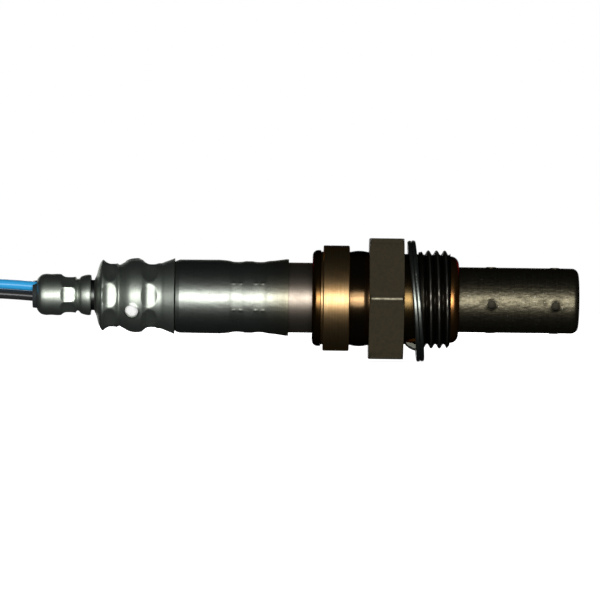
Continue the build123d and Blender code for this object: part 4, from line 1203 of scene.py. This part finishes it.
    def punched(self, maker: Maker, piece: Wire, number: int) -> Wire:
        """Raises the lips of a row of holes and cuts the holes.

        Args:
            maker: The tree.
            piece: The shell.
            number: The row's number.

        Returns:
            The punched shell.
        """
        keys = ("Row", "Hole", "Lip", "Spread", "First", "Count")
        place, hole, lip, spread, first, count = (maker[f"{key} {number}"] for key in keys)
        x, radius, angle = maker.polar()
        part = math.tau / count
        turn = (angle - first) / part
        side = (turn - maker.maths("ROUND", turn)) * part * radius
        along = x - place
        near = maker.maths("SQRT", side * side + along * along)
        lift = (1.0 - maker.smooth(near, hole, hole + spread)) * lip
        piece = maker.reach_out(piece, radius, radius + lift * (1.0 - self.inner(maker)))
        reach = max(radius for _, radius in self.outside()) * MM
        points = maker.node("GeometryNodePoints", {}, {"Count": self.holes[number - 1].count})
        turned = first + maker.node("GeometryNodeInputIndex") * part
        out = maker.joined(0.0, maker.maths("COSINE", turned), maker.maths("SINE", turned))
        centre = maker.vector("ADD", maker.scaled(out, reach), maker.joined(place * MM, 0.0, 0.0))
        inputs = {"Geometry": points, "Position": centre}
        points = maker.node("GeometryNodeSetPosition", {}, inputs)
        inputs = {"Vertices": self.hole_sides, "Radius": hole * MM, "Depth": reach}
        punch = maker.node("GeometryNodeMeshCylinder", {}, inputs)
        along_z = {"axis": "Z"}
        facing = maker.node("FunctionNodeAlignRotationToVector", along_z, {"Vector": out})
        inputs = {"Points": points, "Instance": punch, "Rotation": facing}
        cutters = maker.node("GeometryNodeInstanceOnPoints", {}, inputs)
        cutters = maker.node("GeometryNodeRealizeInstances", {}, {"Geometry": cutters})
        settings = {"operation": "DIFFERENCE", "solver": "EXACT"}
        inputs = {"Mesh 1": piece, "Mesh 2": cutters}
        return maker.node("GeometryNodeMeshBoolean", settings, inputs)


def join_poles(mesh: bpy.types.Mesh) -> None:
    """Joins the points that lie together on the axis."""
    work = bmesh.new()
    work.from_mesh(mesh)
    poles = [v for v in work.verts if math.hypot(v.co.y, v.co.z) < POLE_REACH]
    bmesh.ops.remove_doubles(work, verts=poles, dist=POLE_JOIN)
    work.to_mesh(mesh)
    work.free()


@dataclass
class Casing(Shell):
    """The main casing: bell, wide part with soft crimps, and the tube inside cover and cap."""

    node: str = "main_casing"
    name: str = "casing_shell"
    finish: Finish = Look.CASING
    wall: float = 0.45
    corners: tuple[Corner, ...] = (
        (-21.0, 7.0, 0.0), (-21.5, 7.02, 0.3), (-22.6, 6.86, 1.0), (-23.7, 6.72, 1.0),
        (-24.9, 6.62, 1.0), (-28.3, 6.56, 4.0), (-31.9, 6.62, 1.5), (-33.6, 6.76, 1.5),
        (-40.9, 6.71, 0.4), (-41.6, 6.48, 0.25), (-41.9, 6.15, 0.1), (-42.2, 4.75, 0.1),
        (-42.5, 4.6, 0.1), (-53.8, 4.6, 0.4), (-55.3, 2.78, 0.2), (-57.6, 2.78, 0.3),
        (-58.2, 2.48, 0.3), (-60.5, 2.48, 0.0),
    )
    crimps: tuple[Crimp, ...] = (Crimp(-30.35, 0.75, 12.8, 0.05), Crimp(-26.3, 0.75, 12.86, 0.05))
    crimped_x: Spot = (-33.0, -24.0)
    crimped_bore: float = 5.86
    roller: float = 3.0
    corner: float = 0.2
    facet: float = 0.12
    follow: float = 0.0
    fine: float = 0.2
    degrees: float = 1.5

    def outside(self) -> list[Spot]:
        """The line of the outside, with rounded corners."""
        return rounded(self.corners)

    def inside(self) -> list[Spot]:
        """The line of the inside, which keeps clear of the crimps.

        Returns:
            The line.
        """
        low, high = self.crimped_x
        limits = [self.crimped_bore if low < x < high else math.inf for x, _ in self.outside()]
        return [(x, min(r, limit)) for (x, r), limit in zip(super().inside(), limits)]


@dataclass
class Cover(Shell):
    """The filter cover: belled end, two crimped grooves, vented bulge and rolled rear flange."""

    node: str = "filter_cover"
    name: str = "filter_cover_shell"
    finish: Finish = Look.COVER
    wall: float = 0.4
    outline: tuple[Spot, ...] = (
        (-41.85, 6.95), (-42.7, 6.62), (-43.6, 6.28), (-44.3, 6.02), (-45.1, 6.0), (-46.1, 6.14),
        (-47.0, 6.26), (-47.8, 6.6), (-48.75, 6.73), (-49.75, 6.65), (-50.4, 6.43), (-51.0, 6.12),
        (-51.6, 5.78), (-52.0, 5.62), (-52.5, 5.95), (-53.2, 6.14), (-53.9, 6.2), (-54.4, 6.36),
        (-54.9, 6.53), (-55.35, 6.15), (-55.75, 5.2), (-56.1, 3.9), (-56.5, 2.98),
    )
    crimps: tuple[Crimp, ...] = (Crimp(-46.0, 0.4, 11.5), Crimp(-53.2, 0.4, 11.5))
    holes: tuple[HoleRow, ...] = (HoleRow(-49.55, 205.6, 3, 1.2, 0.14, 0.32),)


@dataclass
class Cap(Shell):
    """The sleeve at the wire end: rounded barrel, ring of flats, groove and bead."""

    node: str = "grommet_cap"
    name: str = "grommet_cap_shell"
    finish: Finish = Look.COVER
    wall: float = 0.33
    outline: tuple[Spot, ...] = (
        (-57.15, 3.6), (-57.5, 3.72), (-58.1, 3.66), (-58.9, 3.42), (-59.35, 3.0), (-59.6, 2.9),
        (-59.85, 3.1), (-60.1, 3.42), (-61.0, 3.52), (-62.1, 3.62), (-62.7, 3.76), (-63.4, 3.79),
        (-64.4, 3.74), (-65.4, 3.78), (-66.2, 3.6), (-66.7, 3.2), (-67.0, 2.8),
    )
    spacing: float = 0.2
    crimps: tuple[Crimp, ...] = (Crimp(-61.0, 0.85, 6.42),)
    roller: float = 0.8
    corner: float = 0.04
    degrees: float = 2.5


@dataclass
class Nose(Shell):
    """The outer nose shell: a closed cup with two rows of lipped holes."""

    node: str = "outer_protector"
    name: str = "outer_nose_shell"
    finish: Finish = Look.NOSE
    wall: float = 0.5
    slot: str = "nose_steel"
    end: float = 32.1
    start: float = 7.6
    radius: float = 5.97
    dome: float = 0.1
    roundings: Spot = (1.25, 0.8)
    holes: tuple[HoleRow, ...] = (
        HoleRow(16.0, 188.0, 4, 0.825, 0.1, 0.26), HoleRow(27.6, 189.4, 4, 0.825, 0.1, 0.26),
    )

    def cup(self, end: float, radius: float, rounding: float) -> list[Spot]:
        """The line of a cup with a slightly domed end."""
        shoulder = (end - self.dome, radius, rounding)
        return rounded([(end, 0.0, 0.0), shoulder, (self.start, radius, 0.0)])

    def outside(self) -> list[Spot]:
        """The line of the outside."""
        return self.cup(self.end, self.radius, self.roundings[0])

    def inside(self) -> list[Spot]:
        """The line of the inside."""
        return self.cup(self.end - self.wall, self.radius - self.wall, self.roundings[1])


@dataclass
class GasketTab:
    """The gasket's bent tab, which holds it on the undercut at the bottom."""

    profile: tuple[Spot, ...] = (
        (2.7, 9.5), (1.9, 9.35), (1.1, 8.95), (0.5, 8.45),
        (0.6, 8.32), (1.5, 8.38), (2.3, 8.7), (2.7, 9.1),
    )
    first: float = 252.0
    last: float = 288.0
    step: float = 3.0
    sharp: float = 40.0

    def build(self) -> bpy.types.Object:
        """Sweeps the profile round the axis and closes both ends.

        Returns:
            The tab.
        """
        angles = np.radians(np.arange(self.first, self.last + self.step / 2, self.step))
        count = len(self.profile)
        points = [(x, r * math.cos(a), r * math.sin(a)) for a in angles for x, r in self.profile]
        faces = [tuple(range(count))[::-1], tuple(range(len(points) - count, len(points)))]
        for start in range(0, len(points) - count, count):
            for side in range(count):
                here, after = start + side, start + (side + 1) % count
                faces.append((here, after, after + count, here + count))
        mesh = bpy.data.meshes.new("gasket_tab")
        mesh.from_pydata((np.array(points) * MM).tolist(), [], faces)
        mesh.materials.append(Look.TAB.material())
        mesh.shade_smooth()
        mesh.set_sharp_from_angle(angle=math.radians(self.sharp))
        return stand_for(add_object("gasket_tab", mesh), "gasket_steel")


@dataclass
class Braid:
    """The loom's woven sleeve: flat strands that run both ways round it, over and under."""

    radius: float = 2.66
    strands: int = 12
    turns: float = 10.0
    steps: int = 720
    width: float = 1.15
    thickness: float = 0.14
    weave: float = 0.11
    sharp: float = 50.0

    def build(self, route: Sequence[Point]) -> bpy.types.Object:
        """Weaves the sleeve along the loom's smooth line with Geometry Nodes.

        Args:
            route: The loom's points.

        Returns:
            The sleeve.
        """
        sizes = {"Radius": self.radius, "Turns": self.turns, "Width": self.width}
        sizes |= {"Weave": self.weave, "Thickness": self.thickness}
        maker = Maker("sleeve_braider", sizes)
        inputs = {"Start": (0, 0, 0), "End": (1, 0, 0)}
        line = maker.node("GeometryNodeCurvePrimitiveLine", {}, inputs)
        dense = maker.node("GeometryNodeResampleCurve", {}, {"Curve": line, "Count": self.steps})
        inputs = {"Geometry": dense, "Amount": 2 * self.strands}
        copies = maker.node("GeometryNodeDuplicateElements", {"domain": "SPLINE"}, inputs)
        number = Wire(maker, copies.socket.node.outputs["Duplicate Index"])
        share = maker.node("GeometryNodeSplineParameter", output="Factor")
        odd = maker.maths("MODULO", number, 2.0)
        hand = odd * 2.0 - 1.0
        pair = maker.maths("FLOOR", number / 2.0)
        angle = (hand * maker["Turns"] * share + pair / self.strands) * math.tau
        crossings = maker["Turns"] * share * (2.0 * self.strands)
        rise = hand * maker["Weave"] * maker.maths("COSINE", crossings * math.pi)
        reach = (maker["Radius"] + rise) * MM
        inputs = {"Curves": maker["Blank"], "Factor": share}
        sample = maker.node("GeometryNodeSampleCurve", {"mode": "FACTOR"}, inputs)
        outputs = sample.socket.node.outputs
        keys = ("Position", "Tangent", "Normal")
        place, tangent, normal = (Wire(maker, outputs[key]) for key in keys)
        side = maker.vector("CROSS_PRODUCT", tangent, normal)
        across = maker.scaled(normal, maker.maths("COSINE", angle))
        outward = maker.vector("ADD", across, maker.scaled(side, maker.maths("SINE", angle)))
        spot = maker.vector("ADD", place, maker.scaled(outward, reach))
        moved = maker.node("GeometryNodeSetPosition", {}, {"Geometry": copies, "Position": spot})
        inputs = {"Curve": moved, "Normal": outward}
        faced = maker.node("GeometryNodeSetCurveNormal", {"mode": "FREE"}, inputs)
        inputs = {"Width": maker["Thickness"] * MM, "Height": maker["Width"] * MM}
        mode = {"mode": "RECTANGLE"}
        section = maker.node("GeometryNodeCurvePrimitiveQuadrilateral", mode, inputs)
        inputs = {"Curve": faced, "Profile Curve": section, "Fill Caps": True}
        maker.complete(maker.node("GeometryNodeCurveToMesh", {}, inputs), [(Look.SLEEVE, None)])
        line = cord_curve("sleeve_line", route, 0.0)
        return stand_for(maker.make(line, "loom_braid_sleeve", self.sharp), "loom_braid")


@dataclass(frozen=True)
class Lamp:
    """A softbox that faces the sensor: its name, place, width and height in mm, and watts."""

    name: str
    depth: float
    height: float
    size: Spot
    power: float

    def build(self, x: float) -> None:
        """Makes the lamp in front of or behind this x, hidden from the camera."""
        data = bpy.data.lights.new(self.name, "AREA")
        data.shape = "RECTANGLE"
        data.size, data.size_y = (side * MM for side in self.size)
        data.energy = self.power
        made = add_object(self.name, data)
        made.location = (x * MM, self.depth * MM, self.height * MM)
        away = made.location - type(made.location)((x * MM, 0.0, 0.0))
        made.rotation_euler = away.to_track_quat("Z", "Y").to_euler()
        made.visible_camera = False


@dataclass
class Studio:
    """Camera, floor, world and lamps."""

    scale: float = 5.46
    picture: float = 600.0
    centre_x: float = -18.9
    centre_z: float = -0.43
    roll: float = -0.75
    lens: float = 300.0
    sensor: float = 36.0
    floor_z: float = -11.455
    mirrored_share: float = 0.01
    mirrored_colour: Colour = (0.7, 1.0, 1.15)
    fill: float = 0.22
    floor_glow: float = 0.86
    floor_half: float = 4000.0
    floor_colour: Colour = (0.8, 0.8, 0.8)
    lamps: tuple[Lamp, ...] = (
        Lamp("front_core", -1000.0, -40.0, (900.0, 210.0), 4.5),
        Lamp("front_softbox", -1000.0, -40.0, (1500.0, 560.0), 7.9),
        Lamp("back_softbox", 1000.0, 160.0, (1500.0, 560.0), 7.9),
    )

    def build(self) -> None:
        """Makes the camera and everything that lights the sensor."""
        self.camera()
        self.world()
        self.floor()
        for lamp in self.lamps:
            lamp.build(self.centre_x)
        bpy.context.scene.view_settings.view_transform = "Standard"

    def camera(self) -> None:
        """A long lens square to the sensor's axis, at the photograph's scale."""
        width = self.picture / self.scale
        away = width * self.lens / self.sensor
        data = bpy.data.cameras.new("camera")
        data.lens = self.lens
        data.sensor_width = self.sensor
        data.clip_start = away * MM / 20
        data.clip_end = away * MM * 20
        made = add_object("camera", data)
        made.location = (self.centre_x * MM, -away * MM, self.centre_z * MM)
        made.rotation_euler = (math.radians(90), math.radians(self.roll), 0.0)
        bpy.context.scene.camera = made

    def seen(self, graph: Graph) -> Wire:
        """1 for what the camera sees, straight or through glass, and 0 for other rays."""
        path = graph.node("ShaderNodeLightPath", output="Is Camera Ray")
        return path + Wire(graph, path.socket.node.outputs["Is Transmission Ray"])

    def world(self) -> None:
        """White where it is seen, dim in reflections, and a low even fill for matt surfaces."""
        made = bpy.data.worlds.new("studio_world")
        made.use_nodes = True
        graph = Graph(made.node_tree)
        mirrored = graph.node("ShaderNodeLightPath", output="Is Glossy Ray")
        matt = Wire(graph, mirrored.socket.node.outputs["Is Diffuse Ray"])
        colour = graph.blend(mirrored, (1.0, 1.0, 1.0), self.mirrored_colour)
        strength = self.seen(graph) + mirrored * self.mirrored_share + matt * self.fill
        light = graph.node("ShaderNodeBackground", {}, {"Color": colour, "Strength": strength})
        graph.node("ShaderNodeOutputWorld", {}, {"Surface": light})
        bpy.context.scene.world = made

    def floor(self) -> None:
        """A pale floor that keeps a soft shadow, and that the low softboxes shine past."""
        size = self.floor_half * MM
        corners = [(-size, -size), (size, -size), (size, size), (-size, size)]
        mesh = bpy.data.meshes.new("floor")
        mesh.from_pydata([(x, y, self.floor_z * MM) for x, y in corners], [], [(0, 1, 2, 3)])
        material = bpy.data.materials.new("pale_floor")
        material.use_nodes = True
        graph = Graph(material.node_tree)
        colour = (*self.floor_colour, 1.0)
        matt = graph.node("ShaderNodeBsdfDiffuse", {}, {"Color": colour})
        strength = self.seen(graph) * self.floor_glow
        glow = graph.node("ShaderNodeEmission", {}, {"Strength": strength})
        both = graph.node("ShaderNodeAddShader", {}, {0: matt, 1: glow})
        graph.node("ShaderNodeOutputMaterial", {}, {"Surface": both})
        mesh.materials.append(material)
        made = add_object("floor", mesh)
        made.visible_glossy = False
        made.visible_shadow = False


def dress_nodes() -> None:
    """Gives every CAD node that stays in view its finish."""
    for finish, names in NODE_LOOKS.items():
        for name in names:
            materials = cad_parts[name].data.materials
            materials.clear()
            materials.append(finish.material())
        log.info("%s on %s", finish.name, ", ".join(names))


def main() -> None:
    """Builds the scene, from the camera and the cords to the finishes."""
    logging.basicConfig(level=logging.INFO)
    parts = (Studio, Leads, Loom, Housing, Casing, Cover, Cap, Nose, GasketTab)
    for part in parts:
        log.info("Building %s", part.__name__)
        part().build()
    dress_nodes()


if __name__ == "__main__":
    main()
